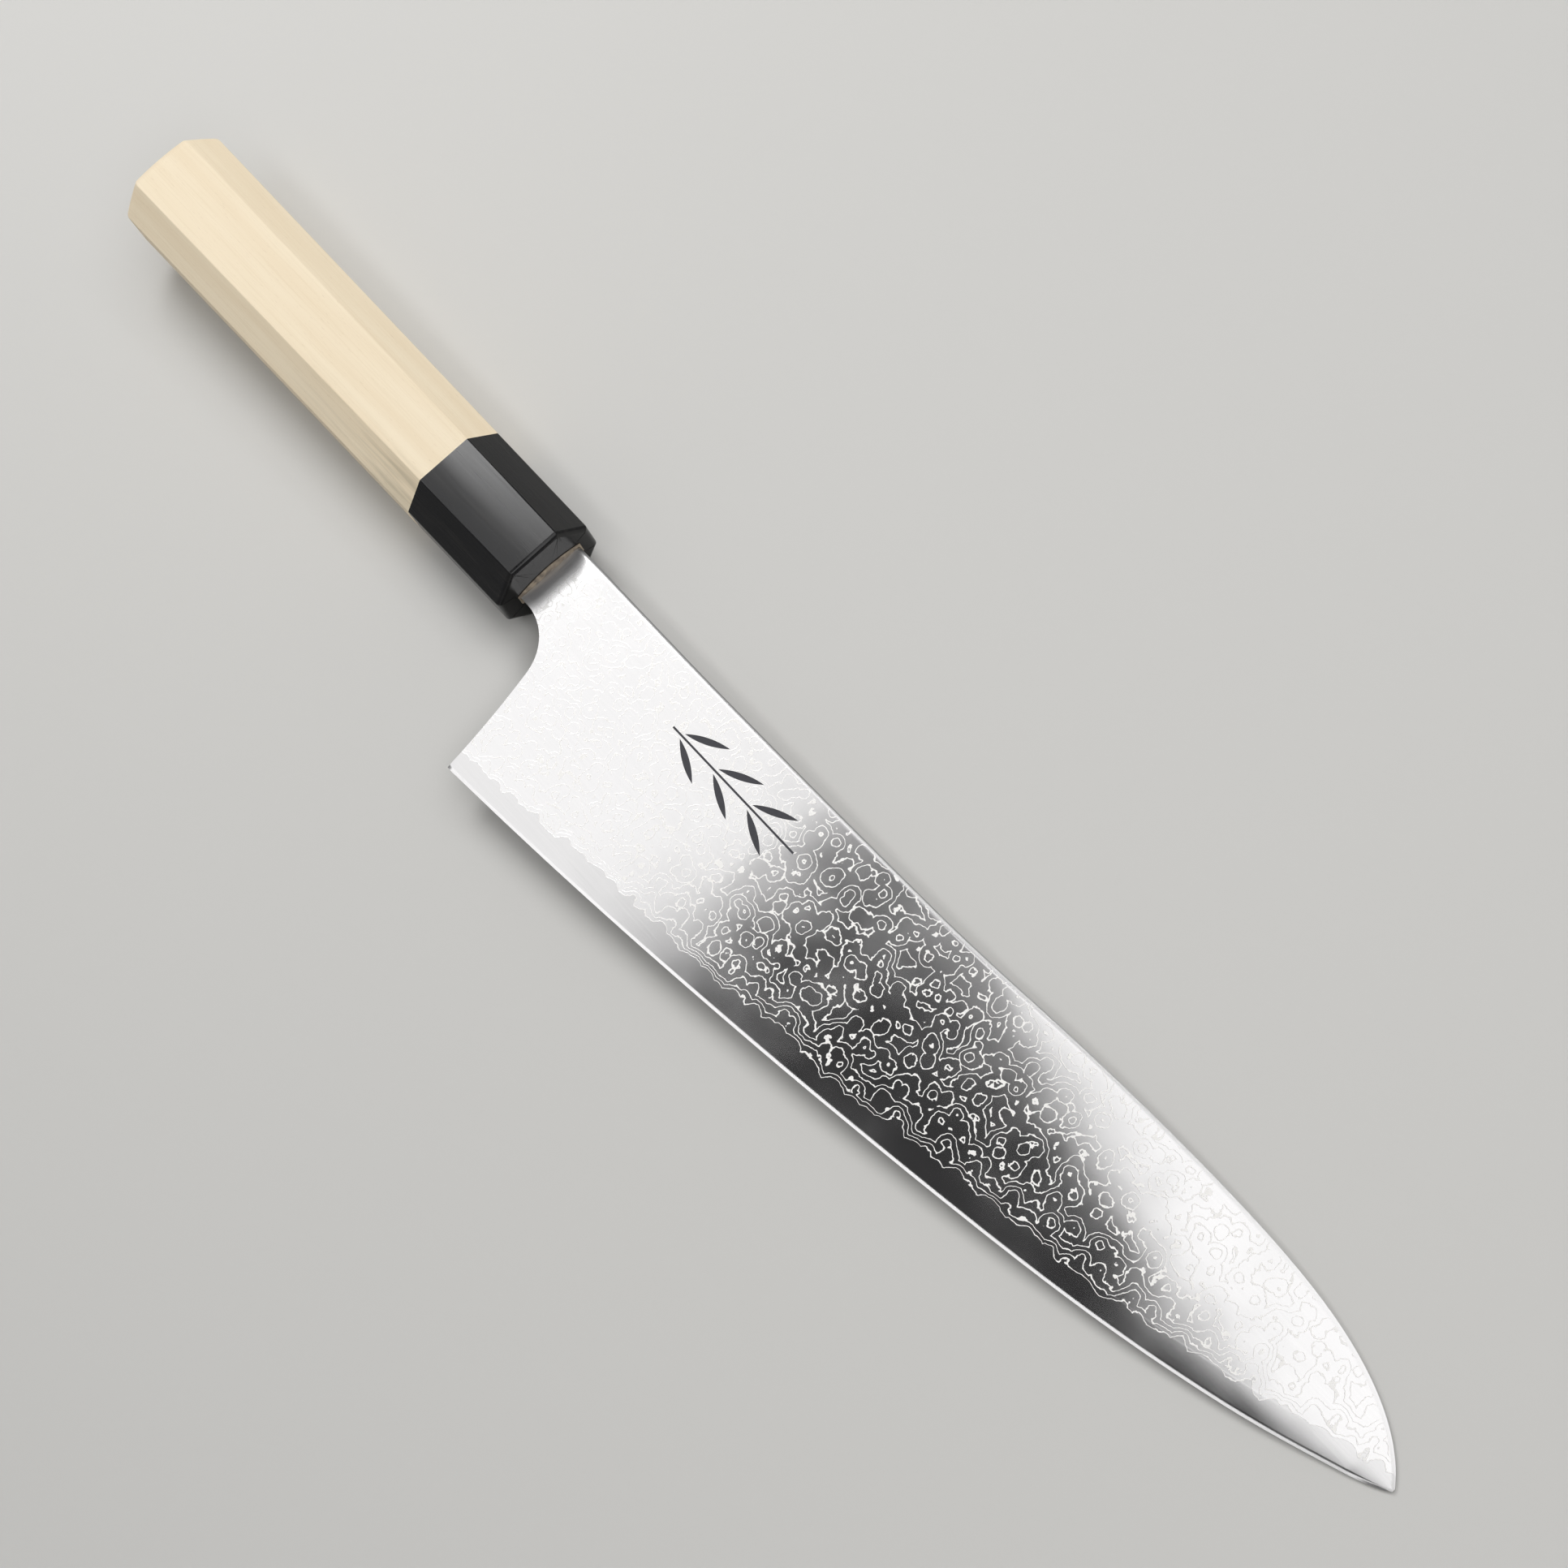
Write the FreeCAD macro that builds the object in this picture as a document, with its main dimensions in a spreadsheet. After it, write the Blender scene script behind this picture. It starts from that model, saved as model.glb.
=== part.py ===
"""Chef knife with an octagonal wooden handle, as a parametric document. Millimetres.

While it is drawn, the handle axis is the X axis, X = 0 is the ferrule's front face, +X runs to
the tip, +Y to the spine, and +Z out of the blade's right side. The finished sub-parts are then
shifted together, so that the knife lies on the ground plane, centred over the origin.
"""
import FreeCAD, Part
import os
import re

import Sketcher

from FreeCAD import Placement, Rotation, Vector

HANDLE_SIZES = {
    "handle_length": 145.5,     # ferrule front to the crown of the butt
    "ferrule_length": 32.5,
    "front_height": 25.0,       # octagon across the flats at the ferrule's front, along Y
    "front_thickness": 19.5,    # and along Z
    "handle_corner": 6.1,       # leg of the 45 degree corner cut
    "butt_height": 27.3,
    "butt_thickness": 21.5,
    "butt_crown_radius": 62.0,  # sphere of the domed butt
    "butt_easing": 2.2,         # rounding round the butt
    "front_easing": 1.1,        # rounding of the ferrule's front rim
    "tenon_diameter": 14.6,     # wood inside the ferrule
    "tenon_length": 22.0,
    "tenon_chamfer": 0.8,
    "tenon_end_gap": 1.5,       # past the tenon, to the bottom of the bore
    "glue_film": 0.15,          # between tenon and bore
}
BLADE_SIZES = {
    "heel_reach": 18.6,         # ferrule front to the heel
    "blade_length": 236.2,      # heel to tip, along the axis
    "blade_height": 51.4,       # spine to edge at the heel
    "spine_rise": 8.7,          # spine above the axis at the neck
    "neck_drop": 7.6,           # underside of the neck below the axis
    "neck_flat": 2.6,           # straight start of the neck's underside
    "choil_reach": 14.6,        # where the choil's hollow meets its long run to the heel
    "choil_drop": 17.6,
    "choil_bow": 2.7,           # hollow of the choil under the neck
    "heel_bow": 0.4,            # and of its long run
    "spine_half": 1.05,         # half thickness at the heel's spine
    "core_half": 0.30,          # half thickness of the hard core
    "core_show": 5.5,           # width of bare core along the edge
    "cheek_bulge": 0.08,        # how far the ground side stands out from flat
    "bevel_width": 0.6,         # sharpened bevel
    "bevel_half": 0.12,         # half thickness at the top of the bevel
    "edge_half": 0.015,         # half thickness of the honed edge itself
}
TANG_SIZES = {
    "tang_half": 1.1,           # half thickness
    "tang_length": 88.0,
    "tang_root_half": 5.0,      # half height behind the mouth
    "tang_end_half": 3.0,
    "mouth_depth": 5.5,         # depth of the wide mouth in the ferrule
    "mouth_gap": 0.5,           # mouth above and below the neck
    "mouth_side": 0.3,          # mouth beside the neck's corners
    "mouth_bulge": 1.3,         # extra half width at the middle of the mouth
    "seal_proud": 0.4,          # bead of seal in front of the ferrule
    "slot_gap": 0.5,            # adhesive above and below the tang
    "slot_side": 0.6,           # adhesive on each side of the tang
    "slot_end_gap": 4.0,        # adhesive past the end of the tang
    "neck_overlap": 2.0,        # how far the ground blade reaches into the mouth
}
MOTIF_SIZES = {
    "sprig_start": 47.0,        # engraved sprig of leaves, from the ferrule front
    "sprig_length": 39.0,
    "sprig_level": -3.0,        # height of its stem
    "stem_width": 0.45,
    "leaf_lead": 3.0,           # stem behind the first pair of leaves
    "leaf_pitch": 11.0,
    "leaf_pairs": 3,
    "leaf_offset": 0.7,         # from the stem's centre line to the root of a leaf
    "leaf_reach": 9.5,          # root to point, along the stem
    "leaf_rise": 4.5,           # root to point, across the stem
    "leaf_bow": 0.75,           # bow of each side of a leaf
    "groove_depth": 0.10,
}
# Unit outline of the blade, from neck to tip: the share of the blade's length ahead of the heel,
# the spine above the neck's line and the edge below it as shares of the height, and the share of
# the heel's thickness left by distal taper.
PROFILE = [
    (0.000, 0.000, 1.000, 1.00),
    (0.175, 0.000, 0.938, 0.94),
    (0.345, 0.011, 0.857, 0.86),
    (0.515, 0.040, 0.758, 0.76),
    (0.650, 0.069, 0.667, 0.66),
    (0.760, 0.072, 0.577, 0.55),
    (0.850, 0.050, 0.482, 0.43),
    (0.915, -0.005, 0.396, 0.30),
    (0.960, -0.085, 0.326, 0.18),
    (0.985, -0.160, 0.282, 0.08),
    (1.000, -0.228, 0.244, 0.02),
]
NECK_BELLY = 1.027  # the same outline, carried back to the mouth, before the choil is cut

doc = FreeCAD.newDocument("chef_knife")


# ---------------------------------------------------------------- sheet and sketch helpers

def make_sheet():
    """Spreadsheet of named driving values."""
    sheet = doc.addObject("Spreadsheet::Sheet", "sizes")
    values = {**HANDLE_SIZES, **BLADE_SIZES, **TANG_SIZES, **MOTIF_SIZES}
    for index, (along, crown, belly, taper) in enumerate(PROFILE):
        values[f"along_{index}"] = along
        values[f"crown_{index}"] = crown
        values[f"belly_{index}"] = belly
        values[f"taper_{index}"] = taper
    for row, (alias, value) in enumerate(values.items(), start=1):
        sheet.set(f"A{row}", alias)
        sheet.set(f"B{row}", str(value))
        sheet.setAlias(f"B{row}", alias)
    doc.recompute()
    return sheet, set(values)


sheet, ALIASES = make_sheet()


def bound(formula):
    """Formula with each alias written as a reference to the sheet."""
    return re.sub(r"[a-z]\w*", lambda word: f"sizes.{word[0]}" if word[0] in ALIASES else word[0], formula)


def value(formula):
    """Present value of a formula, for a sketch's first guess."""
    return float(sheet.evalExpression(bound(formula)))


def new_body(node):
    body = doc.addObject("PartDesign::Body", node)
    body.Label = node
    return body


def new_sketch(body, name, role, offset="0"):
    """Sketch on one of the body's origin planes, moved along the plane's normal by a formula."""
    sketch = body.newObject("Sketcher::SketchObject", f"{body.Name}_{name}")
    plane = [feature for feature in body.Origin.OriginFeatures if feature.Role == role][0]
    sketch.AttachmentSupport = (plane, "")
    sketch.MapMode = "FlatFace"
    sketch.setExpression("AttachmentOffset.Base.z", bound(offset))
    return sketch


def bind(sketch, constraint, formula):
    """Add a dimension to a sketch and bind it to a formula."""
    index = sketch.addConstraint(constraint)
    sketch.setExpression(f"Constraints[{index}]", bound(formula))


def place_point(sketch, geometry, end, corner):
    """Fix an end of a line or arc at a pair of formulas, from the sketch's origin."""
    for kind, formula in zip(("DistanceX", "DistanceY"), corner):
        bind(sketch, Sketcher.Constraint(kind, -1, 1, geometry, end, value(formula)), formula)


def draw_polygon(sketch, corners):
    """Closed polygon; each corner is a pair of formulas."""
    points = [Vector(value(across), value(up), 0) for across, up in corners]
    first = sketch.GeometryCount
    count = len(corners)
    for index in range(count):
        sketch.addGeometry(Part.LineSegment(points[index], points[(index + 1) % count]))
    for index in range(count):
        following = first + (index + 1) % count
        sketch.addConstraint(Sketcher.Constraint("Coincident", first + index, 2, following, 1))
        place_point(sketch, first + index, 1, corners[index])


def draw_circle(sketch, radius):
    """Circle about the sketch's origin."""
    index = sketch.addGeometry(Part.Circle(Vector(0, 0, 0), Vector(0, 0, 1), value(radius)))
    sketch.addConstraint(Sketcher.Constraint("Coincident", index, 3, -1, 1))
    bind(sketch, Sketcher.Constraint("Radius", index, value(radius)), radius)


def draw_bowed(sketch, corners, bows):
    """Closed outline, counterclockwise: side i bows outwards by the formula bows[i], if it has one."""
    points = [Vector(value(across), value(up), 0) for across, up in corners]
    count = len(corners)
    for index in range(count):
        start, end = points[index], points[(index + 1) % count]
        chord = end - start
        if bows[index]:
            outward = Vector(chord.y, -chord.x, 0).normalize()
            side = Part.Arc(start, (start + end) / 2 + outward * value(bows[index]), end)
        else:
            side = Part.LineSegment(start, end)
        geometry = sketch.addGeometry(side)
        place_point(sketch, geometry, 1, corners[index])
        place_point(sketch, geometry, 2, corners[(index + 1) % count])
        if bows[index]:
            (x0, y0), (x1, y1) = corners[index], corners[(index + 1) % count]
            span_squared = f"((({x1}) - ({x0}))^2 + (({y1}) - ({y0}))^2)"
            rise = bows[index]
            radius = f"({span_squared} / 4 + ({rise})^2) / (2 * ({rise}))"
            bind(sketch, Sketcher.Constraint("Radius", geometry, value(radius)), radius)


def section(body, name, along, corners):
    """Polygon across the axis at a distance along it."""
    sketch = new_sketch(body, name, "YZ_Plane", along)
    draw_polygon(sketch, corners)
    return sketch


def loft(body, name, kind, sections, ruled):
    """AdditiveLoft or SubtractiveLoft through sections."""
    doc.recompute()
    feature = body.newObject(f"PartDesign::{kind}", f"{body.Name}_{name}")
    feature.Profile = sections[0]
    feature.Sections = sections[1:]
    feature.Ruled = ruled
    doc.recompute()
    return feature


def extrude(body, kind, sketch, name, length=None, both=False, reverse=False):
    """Pad or Pocket of a sketch; with no length, a pocket goes through everything."""
    feature = body.newObject(f"PartDesign::{kind}", f"{body.Name}_{name}")
    feature.Profile = sketch
    feature.SideType = "Symmetric" if both else "One side"
    feature.Reversed = reverse
    if length is None:
        feature.Type = "ThroughAll"
    else:
        feature.setExpression("Length", bound(length))
    doc.recompute()
    return feature


# ---------------------------------------------------------------- shared outlines

def rectangle(low, high, half):
    return [(low, f"-({half})"), (high, f"-({half})"), (high, half), (low, half)]


def slot_sections(body):
    """Two ends of the tapered slot that holds the tang and its adhesive."""
    half = "tang_half + slot_side"
    root = "(tang_root_half + slot_gap)"
    end = "(tang_end_half + slot_gap)"
    return [
        section(body, "slot_front", "-mouth_depth", rectangle(f"-{root}", root, half)),
        section(body, "slot_end", "-(tang_length + slot_end_gap)", rectangle(f"-{end}", end, half)),
    ]


def mouth_sketch(body, along):
    """Oval mouth around the neck: straight ends and two bowed sides."""
    sketch = new_sketch(body, "mouth", "YZ_Plane", along)
    corners = rectangle("-(neck_drop + mouth_gap)", "spine_rise + mouth_gap", "tang_half + mouth_side")
    draw_bowed(sketch, corners, ["mouth_bulge", None, "mouth_bulge", None])
    return sketch


def tang_outline(body):
    """Neck inside the mouth, then the tapered tang."""
    sketch = new_sketch(body, "tang", "XY_Plane")
    draw_polygon(sketch, [
        ("-neck_overlap", "spine_rise"),
        ("-mouth_depth", "spine_rise"),
        ("-mouth_depth", "tang_root_half"),
        ("-tang_length", "tang_end_half"),
        ("-tang_length", "-tang_end_half"),
        ("-mouth_depth", "-tang_root_half"),
        ("-mouth_depth", "-neck_drop"),
        ("-neck_overlap", "-neck_drop"),
    ])
    return sketch


def choil_outline(body):
    """Everything below the neck and behind the heel, which the ground blade loses."""
    sketch = new_sketch(body, "choil", "XY_Plane")
    heel_level = "spine_rise - blade_height"
    far_below = f"{heel_level} - blade_height / 4"
    back = "-2 * neck_overlap"
    corners = [
        (back, far_below),
        ("heel_reach", far_below),
        ("heel_reach", heel_level),
        ("choil_reach", "-choil_drop"),
        ("neck_flat", "-neck_drop"),
        (back, "-neck_drop"),
    ]
    draw_bowed(sketch, corners, [None, None, "heel_bow", "choil_bow", None, None])
    return sketch


# ---------------------------------------------------------------- blade

def stations():
    """Places along the blade where its section is drawn, as formulas."""
    mouth = {
        "along": "-neck_overlap",
        "spine": "spine_rise",
        "edge": f"spine_rise - blade_height * {NECK_BELLY}",
        "side": "tang_half",
        "cheek": "tang_half",
    }
    places = [mouth]
    for index in range(len(PROFILE)):
        side = f"(core_half + (spine_half - core_half) * taper_{index})"
        places.append({
            "along": f"heel_reach + blade_length * along_{index}",
            "spine": f"spine_rise + blade_height * crown_{index}",
            "edge": f"spine_rise - blade_height * belly_{index}",
            "side": side,
            "cheek": f"((core_half + {side}) / 2 + cheek_bulge * taper_{index})",
        })
    for place in places:
        depth = f"(({place['spine']}) - ({place['edge']}))"
        place["core_line"] = f"({place['edge']} + min(core_show; {depth} / 2))"
        place["bevel"] = f"({place['edge']} + min(bevel_width; {depth} / 8))"
        place["cheek_level"] = f"(({place['core_line']} + {place['spine']}) / 2)"
    return places


def core_section(place):
    """Hard core: a flat slab, ground down to the sharpened bevel along the edge."""
    side = [
        (place["spine"], "core_half"),
        (place["core_line"], "core_half"),
        (place["bevel"], "bevel_half"),
        (place["edge"], "edge_half"),
    ]
    return side + [(level, f"-{half}") for level, half in reversed(side)]


def cladding_section(place, hand):
    """Cladding on one side of the core, ground away to nothing at the core line."""
    return [
        (place["core_line"], f"{hand}core_half"),
        (place["spine"], f"{hand}core_half"),
        (place["spine"], f"{hand}{place['side']}"),
        (place["cheek_level"], f"{hand}{place['cheek']}"),
    ]


def ground_blade(node, outline):
    """Body lofted through the sections that outline gives, with the choil cut away."""
    body = new_body(node)
    sections = [
        section(body, f"station_{index}", place["along"], outline(place))
        for index, place in enumerate(stations())
    ]
    loft(body, "ground", "AdditiveLoft", sections, ruled=False)
    extrude(body, "Pocket", choil_outline(body), "choil_cut", both=True)
    return body


def make_core():
    """Core steel, which carries the edge and runs back through the tang."""
    body = ground_blade("core_steel", core_section)
    extrude(body, "Pad", tang_outline(body), "tang_core", "2 * core_half", both=True)
    return body


def make_cladding(node, hand):
    """Layered cladding of one side, hand "" for the right and "-" for the left."""
    body = ground_blade(node, lambda place: cladding_section(place, hand))
    sketch = tang_outline(body)
    sketch.setExpression("AttachmentOffset.Base.z", bound(f"{hand}core_half"))
    extrude(body, "Pad", sketch, "tang_skin", "tang_half - core_half", reverse=hand == "-")
    return body


def sprig_sketch(body, name):
    """Sketch parallel to the right cheek, one groove's depth below it, along the sprig's stem."""
    place = stations()[2]
    slope = f"(({place['side']} - {place['cheek']}) / ({place['spine']} - {place['cheek_level']}))"
    surface = f"({place['cheek']} + {slope} * (sprig_level - {place['cheek_level']}))"
    sketch = new_sketch(body, name, "XY_Plane", f"{surface} - groove_depth")
    sketch.AttachmentOffset = Placement(sketch.AttachmentOffset.Base, Rotation(Vector(1, 0, 0), 1))
    sketch.setExpression("AttachmentOffset.Base.x", bound("sprig_start"))
    sketch.setExpression("AttachmentOffset.Base.y", bound("sprig_level"))
    sketch.setExpression("AttachmentOffset.Rotation.Angle", bound(f"atan({slope})"))
    return sketch


def engrave_sprig(body):
    """Shallow engraving near the spine: a straight stem with pairs of slender leaves."""
    stem = sprig_sketch(body, "stem")
    draw_polygon(stem, rectangle("0", "sprig_length", "stem_width / 2"))
    extrude(body, "Pocket", stem, "stem_groove", "spine_half", reverse=True)
    leaves = sprig_sketch(body, "leaves")
    tip = "leaf_lead + leaf_reach"
    height = "(leaf_offset + leaf_rise)"
    draw_bowed(leaves, [("leaf_lead", "leaf_offset"), (tip, height)], ["leaf_bow", "leaf_bow"])
    draw_bowed(leaves, [("leaf_lead", "-leaf_offset"), (tip, f"-{height}")], ["leaf_bow", "leaf_bow"])
    pair = extrude(body, "Pocket", leaves, "leaf_grooves", "spine_half", reverse=True)
    row = body.newObject("PartDesign::LinearPattern", f"{body.Name}_leaf_row")
    row.Originals = [pair]
    row.Direction = (leaves, ["H_Axis"])
    row.setExpression("Occurrences", bound("leaf_pairs"))
    row.setExpression("Length", bound("leaf_pitch * (leaf_pairs - 1)"))
    body.Tip = row
    doc.recompute()


# ---------------------------------------------------------------- handle

def dress_edges(body, kind, name, size_property, size, low, high):
    """Fillet or Chamfer the edges whose centres lie between two distances along the axis."""
    base = body.Tip
    edges = [
        f"Edge{index}"
        for index, edge in enumerate(base.Shape.Edges, start=1)
        if value(low) - 0.001 < edge.CenterOfMass.x < value(high) + 0.001
    ]
    feature = body.newObject(f"PartDesign::{kind}", f"{body.Name}_{name}")
    feature.Base = (base, edges)
    feature.setExpression(size_property, bound(size))
    doc.recompute()


def tapered_octagon(body, near, far):
    """Stretch of the handle's tapered octagon between two distances behind the ferrule's front."""
    wedge = body.newObject("PartDesign::AdditiveWedge", f"{body.Name}_blank")
    wedge.Placement = Placement(Vector(0, 0, 0), Rotation(Vector(0, 0, 1), 90))
    for prefix, distance in (("", near), ("2", far)):
        share = f"({distance}) / handle_length"
        for axis, size in (("X", "height"), ("Z", "thickness")):
            half = f"(front_{size} + (butt_{size} - front_{size}) * {share}) / 2"
            wedge.setExpression(f"{axis}{prefix}min", bound(f"-({half})"))
            wedge.setExpression(f"{axis}{prefix}max", bound(half))
    wedge.setExpression("Ymin", bound(near))
    wedge.setExpression("Ymax", bound(far))
    doc.recompute()
    middle = f"-(({near}) + ({far})) / 2"
    dress_edges(body, "Chamfer", "corners", "Size", "handle_corner", middle, middle)


def make_ferrule():
    """Horn ferrule: bored from behind for the tenon, with an oval mouth for the neck."""
    body = new_body("horn_ferrule")
    tapered_octagon(body, "0", "ferrule_length")
    dress_edges(body, "Fillet", "rim", "Radius", "front_easing", "0", "0")
    bore = new_sketch(body, "bore", "YZ_Plane", "-ferrule_length")
    draw_circle(bore, "tenon_diameter / 2 + glue_film")
    extrude(body, "Pocket", bore, "bore_cut", "tenon_length + tenon_end_gap", reverse=True)
    extrude(body, "Pocket", mouth_sketch(body, "0"), "mouth_cut", "mouth_depth")
    loft(body, "slot", "SubtractiveLoft", slot_sections(body), ruled=True)
    return body


def make_handle():
    """Magnolia handle: tapered octagon with a domed butt, a round tenon and the tang's slot."""
    body = new_body("handle_body")
    tapered_octagon(body, "ferrule_length", "handle_length")
    dome_butt(body)
    rim = "butt_crown_radius - sqrt(butt_crown_radius^2 - butt_height^2 / 4)"
    dress_edges(
        body, "Fillet", "butt_rim", "Radius", "butt_easing", "-handle_length", f"-handle_length + {rim}",
    )
    tenon = new_sketch(body, "tenon", "YZ_Plane", "-ferrule_length")
    draw_circle(tenon, "tenon_diameter / 2")
    extrude(body, "Pad", tenon, "tenon_pad", "tenon_length")
    lead = "tenon_length - ferrule_length"
    dress_edges(body, "Chamfer", "lead_in", "Size", "tenon_chamfer", lead, lead)
    loft(body, "slot", "SubtractiveLoft", slot_sections(body), ruled=True)
    return body


def dome_butt(body):
    """Turn the flat butt into a shallow dome."""
    reach = "(butt_height * 0.75)"
    back = f"(butt_crown_radius - sqrt(butt_crown_radius^2 - {reach}^2))"
    corners = [
        ("-handle_length", "0"),
        (f"-handle_length + {back}", reach),
        (f"-handle_length - {back}", reach),
        (f"-handle_length - {back}", "0"),
    ]
    sketch = new_sketch(body, "dome", "XY_Plane")
    draw_dome(sketch, corners)
    groove = body.newObject("PartDesign::Groove", f"{body.Name}_dome_cut")
    groove.Profile = sketch
    groove.ReferenceAxis = (sketch, ["H_Axis"])
    groove.Angle = 360
    doc.recompute()


def draw_dome(sketch, corners):
    """Profile outside the dome, from the axis out; its first side is the dome's arc."""
    centre = Vector(value("butt_crown_radius - handle_length"), 0, 0)
    points = [Vector(value(across), value(up), 0) for across, up in corners]
    toward = ((points[0] + points[1]) / 2 - centre).normalize()
    arc = Part.Arc(points[0], centre + toward * value("butt_crown_radius"), points[1])
    sketch.addGeometry(arc)
    # the arc runs clockwise, so the sketch holds it from its outer end to the axis
    place_point(sketch, 0, 2, corners[0])
    place_point(sketch, 0, 1, corners[1])
    radius = "butt_crown_radius"
    bind(sketch, Sketcher.Constraint("Radius", 0, value(radius)), radius)
    for index in (1, 2, 3):
        following = (index + 1) % 4
        sketch.addGeometry(Part.LineSegment(points[index], points[following]))
        place_point(sketch, index, 1, corners[index])
        place_point(sketch, index, 2, corners[following])


def make_ferrule_glue():
    """Film of glue between the tenon and the ferrule's bore."""
    body = new_body("ferrule_glue")
    sketch = new_sketch(body, "ring", "YZ_Plane", "-ferrule_length")
    draw_circle(sketch, "tenon_diameter / 2 + glue_film")
    draw_circle(sketch, "tenon_diameter / 2")
    extrude(body, "Pad", sketch, "film", "tenon_length - tenon_chamfer")
    return body


def make_tang_adhesive():
    """Adhesive that fills the slot around the tang."""
    body = new_body("tang_adhesive")
    loft(body, "fill", "AdditiveLoft", slot_sections(body), ruled=True)
    extrude(body, "Pocket", tang_outline(body), "tang_cut", "2 * tang_half", both=True)
    return body


def make_neck_seal():
    """Bead that closes the ferrule's mouth around the neck."""
    body = new_body("neck_seal")
    extrude(body, "Pad", mouth_sketch(body, "-mouth_depth"), "bead", "mouth_depth + seal_proud")
    sketch = new_sketch(body, "neck", "XY_Plane")
    draw_polygon(sketch, [
        ("-2 * mouth_depth", "-neck_drop"),
        ("2 * seal_proud", "-neck_drop"),
        ("2 * seal_proud", "spine_rise"),
        ("-2 * mouth_depth", "spine_rise"),
    ])
    extrude(body, "Pocket", sketch, "neck_cut", "2 * tang_half", both=True)
    return body


# ---------------------------------------------------------------- assembly and output

def set_down(body):
    """Shift a body from the drawing axes to the ground plane, centred over the origin."""
    body.setExpression("Placement.Base.x", bound("(handle_length - heel_reach - blade_length) / 2"))
    body.setExpression("Placement.Base.y", bound("(blade_height - spine_rise - butt_height / 2) / 2"))
    body.setExpression("Placement.Base.z", bound("butt_thickness / 2"))


def check(bodies):
    """Stop if anything in the document failed, or a sub-part isn't one valid solid."""
    for item in doc.Objects:
        if {"Invalid", "Error"} & set(item.State):
            raise RuntimeError(f"{item.Label} failed: {item.State}")
    for body in bodies:
        if body.Shape.isNull() or not body.Shape.isValid() or len(body.Shape.Solids) != 1:
            raise RuntimeError(f"{body.Label} isn't one valid solid")


def main():
    cladding_right = make_cladding("cladding_right", "")
    engrave_sprig(cladding_right)
    bodies = [
        make_core(),
        cladding_right,
        make_cladding("cladding_left", "-"),
        make_handle(),
        make_ferrule(),
        make_ferrule_glue(),
        make_tang_adhesive(),
        make_neck_seal(),
    ]
    for body in bodies:
        set_down(body)
    doc.recompute()
    check(bodies)
    os.makedirs("parts", exist_ok=True)
    for body in bodies:
        body.Shape.exportStep(f"parts/{body.Label}.step")
        print(body.Label, round(body.Shape.Volume, 2))


main()
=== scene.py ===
"""Looks of a chef knife with a layered blade and an octagonal wooden handle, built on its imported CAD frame.

Sizes are in millimetres along the knife's own drawing axes: X runs along the handle from the ferrule's
front (0) to the tip, Y rises from the edge to the spine, and Z comes out of the right cheek. The last step
of every piece turns them into the metres of the frame.
"""

import logging
import math
from bisect import bisect_right
from collections.abc import Callable, Iterable
from dataclasses import dataclass
from enum import Enum
from functools import partial

import bmesh
import bpy
import numpy as np
from mathutils import Matrix, Vector


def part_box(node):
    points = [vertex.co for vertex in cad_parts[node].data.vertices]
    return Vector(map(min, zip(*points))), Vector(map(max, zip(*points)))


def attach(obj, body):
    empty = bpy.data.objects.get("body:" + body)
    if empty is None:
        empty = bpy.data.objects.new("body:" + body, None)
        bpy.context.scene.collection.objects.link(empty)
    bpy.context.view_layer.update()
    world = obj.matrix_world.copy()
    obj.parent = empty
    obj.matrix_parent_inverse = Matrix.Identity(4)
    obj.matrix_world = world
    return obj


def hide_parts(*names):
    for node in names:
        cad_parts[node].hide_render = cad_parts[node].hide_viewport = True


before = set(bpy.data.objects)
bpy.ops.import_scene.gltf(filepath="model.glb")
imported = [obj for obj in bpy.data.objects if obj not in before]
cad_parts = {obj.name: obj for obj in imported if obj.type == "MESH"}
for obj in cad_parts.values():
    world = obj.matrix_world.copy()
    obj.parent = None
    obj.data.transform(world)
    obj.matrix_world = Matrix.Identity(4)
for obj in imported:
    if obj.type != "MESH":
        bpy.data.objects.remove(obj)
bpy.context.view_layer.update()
BODY = "root"
MM = 0.001  # metres in a millimetre
MERGE = 1e-4  # points nearer than this are one
LEVEL = 0.01  # points nearer than this lie on one plane across the knife
OUTLINE_SLACK = 0.004  # how far inside a node's outline a point still counts as on it
BAR_SIDES = 72

log = logging.getLogger("chef_knife")

Point = tuple[float, float]
Place = tuple[float, float, float]
Tree = bpy.types.NodeTree
Node = bpy.types.Node
Material = bpy.types.Material
Object = bpy.types.Object
Solid = bmesh.types.BMesh


# ---------------------------------------------------------------- nodes and colours

def linear(code: str) -> tuple[float, float, float, float]:
    """Turn an sRGB hex colour into the linear colour that a shader takes.

    Args:
        code: colour as "#rrggbb".

    Returns:
        Linear red, green and blue, and full alpha.
    """
    shares = [int(code[start:start + 2], 16) / 255 for start in (1, 3, 5)]
    red, green, blue = (
        share / 12.92 if share <= 0.04045 else ((share + 0.055) / 1.055) ** 2.4 for share in shares
    )
    return red, green, blue, 1.0


def add_node(tree: Tree, kind: str, settings: dict | None = None, links: dict | None = None) -> Node:
    """Add one shader node to a tree.

    Args:
        tree: tree that gets the node.
        kind: the node's type name, after its "ShaderNode".
        settings: values by input name or index, or by property name.
        links: sources by the input that they feed: an output, or a node for its first output.

    Returns:
        The new node.
    """
    made = tree.nodes.new(f"ShaderNode{kind}")
    for key, value in (settings or {}).items():
        if isinstance(key, int) or key in made.inputs:
            made.inputs[key].default_value = value
        else:
            setattr(made, key, value)
    for key, source in (links or {}).items():
        output = source.outputs[0] if isinstance(source, Node) else source
        tree.links.new(output, made.inputs[key])
    return made


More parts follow.
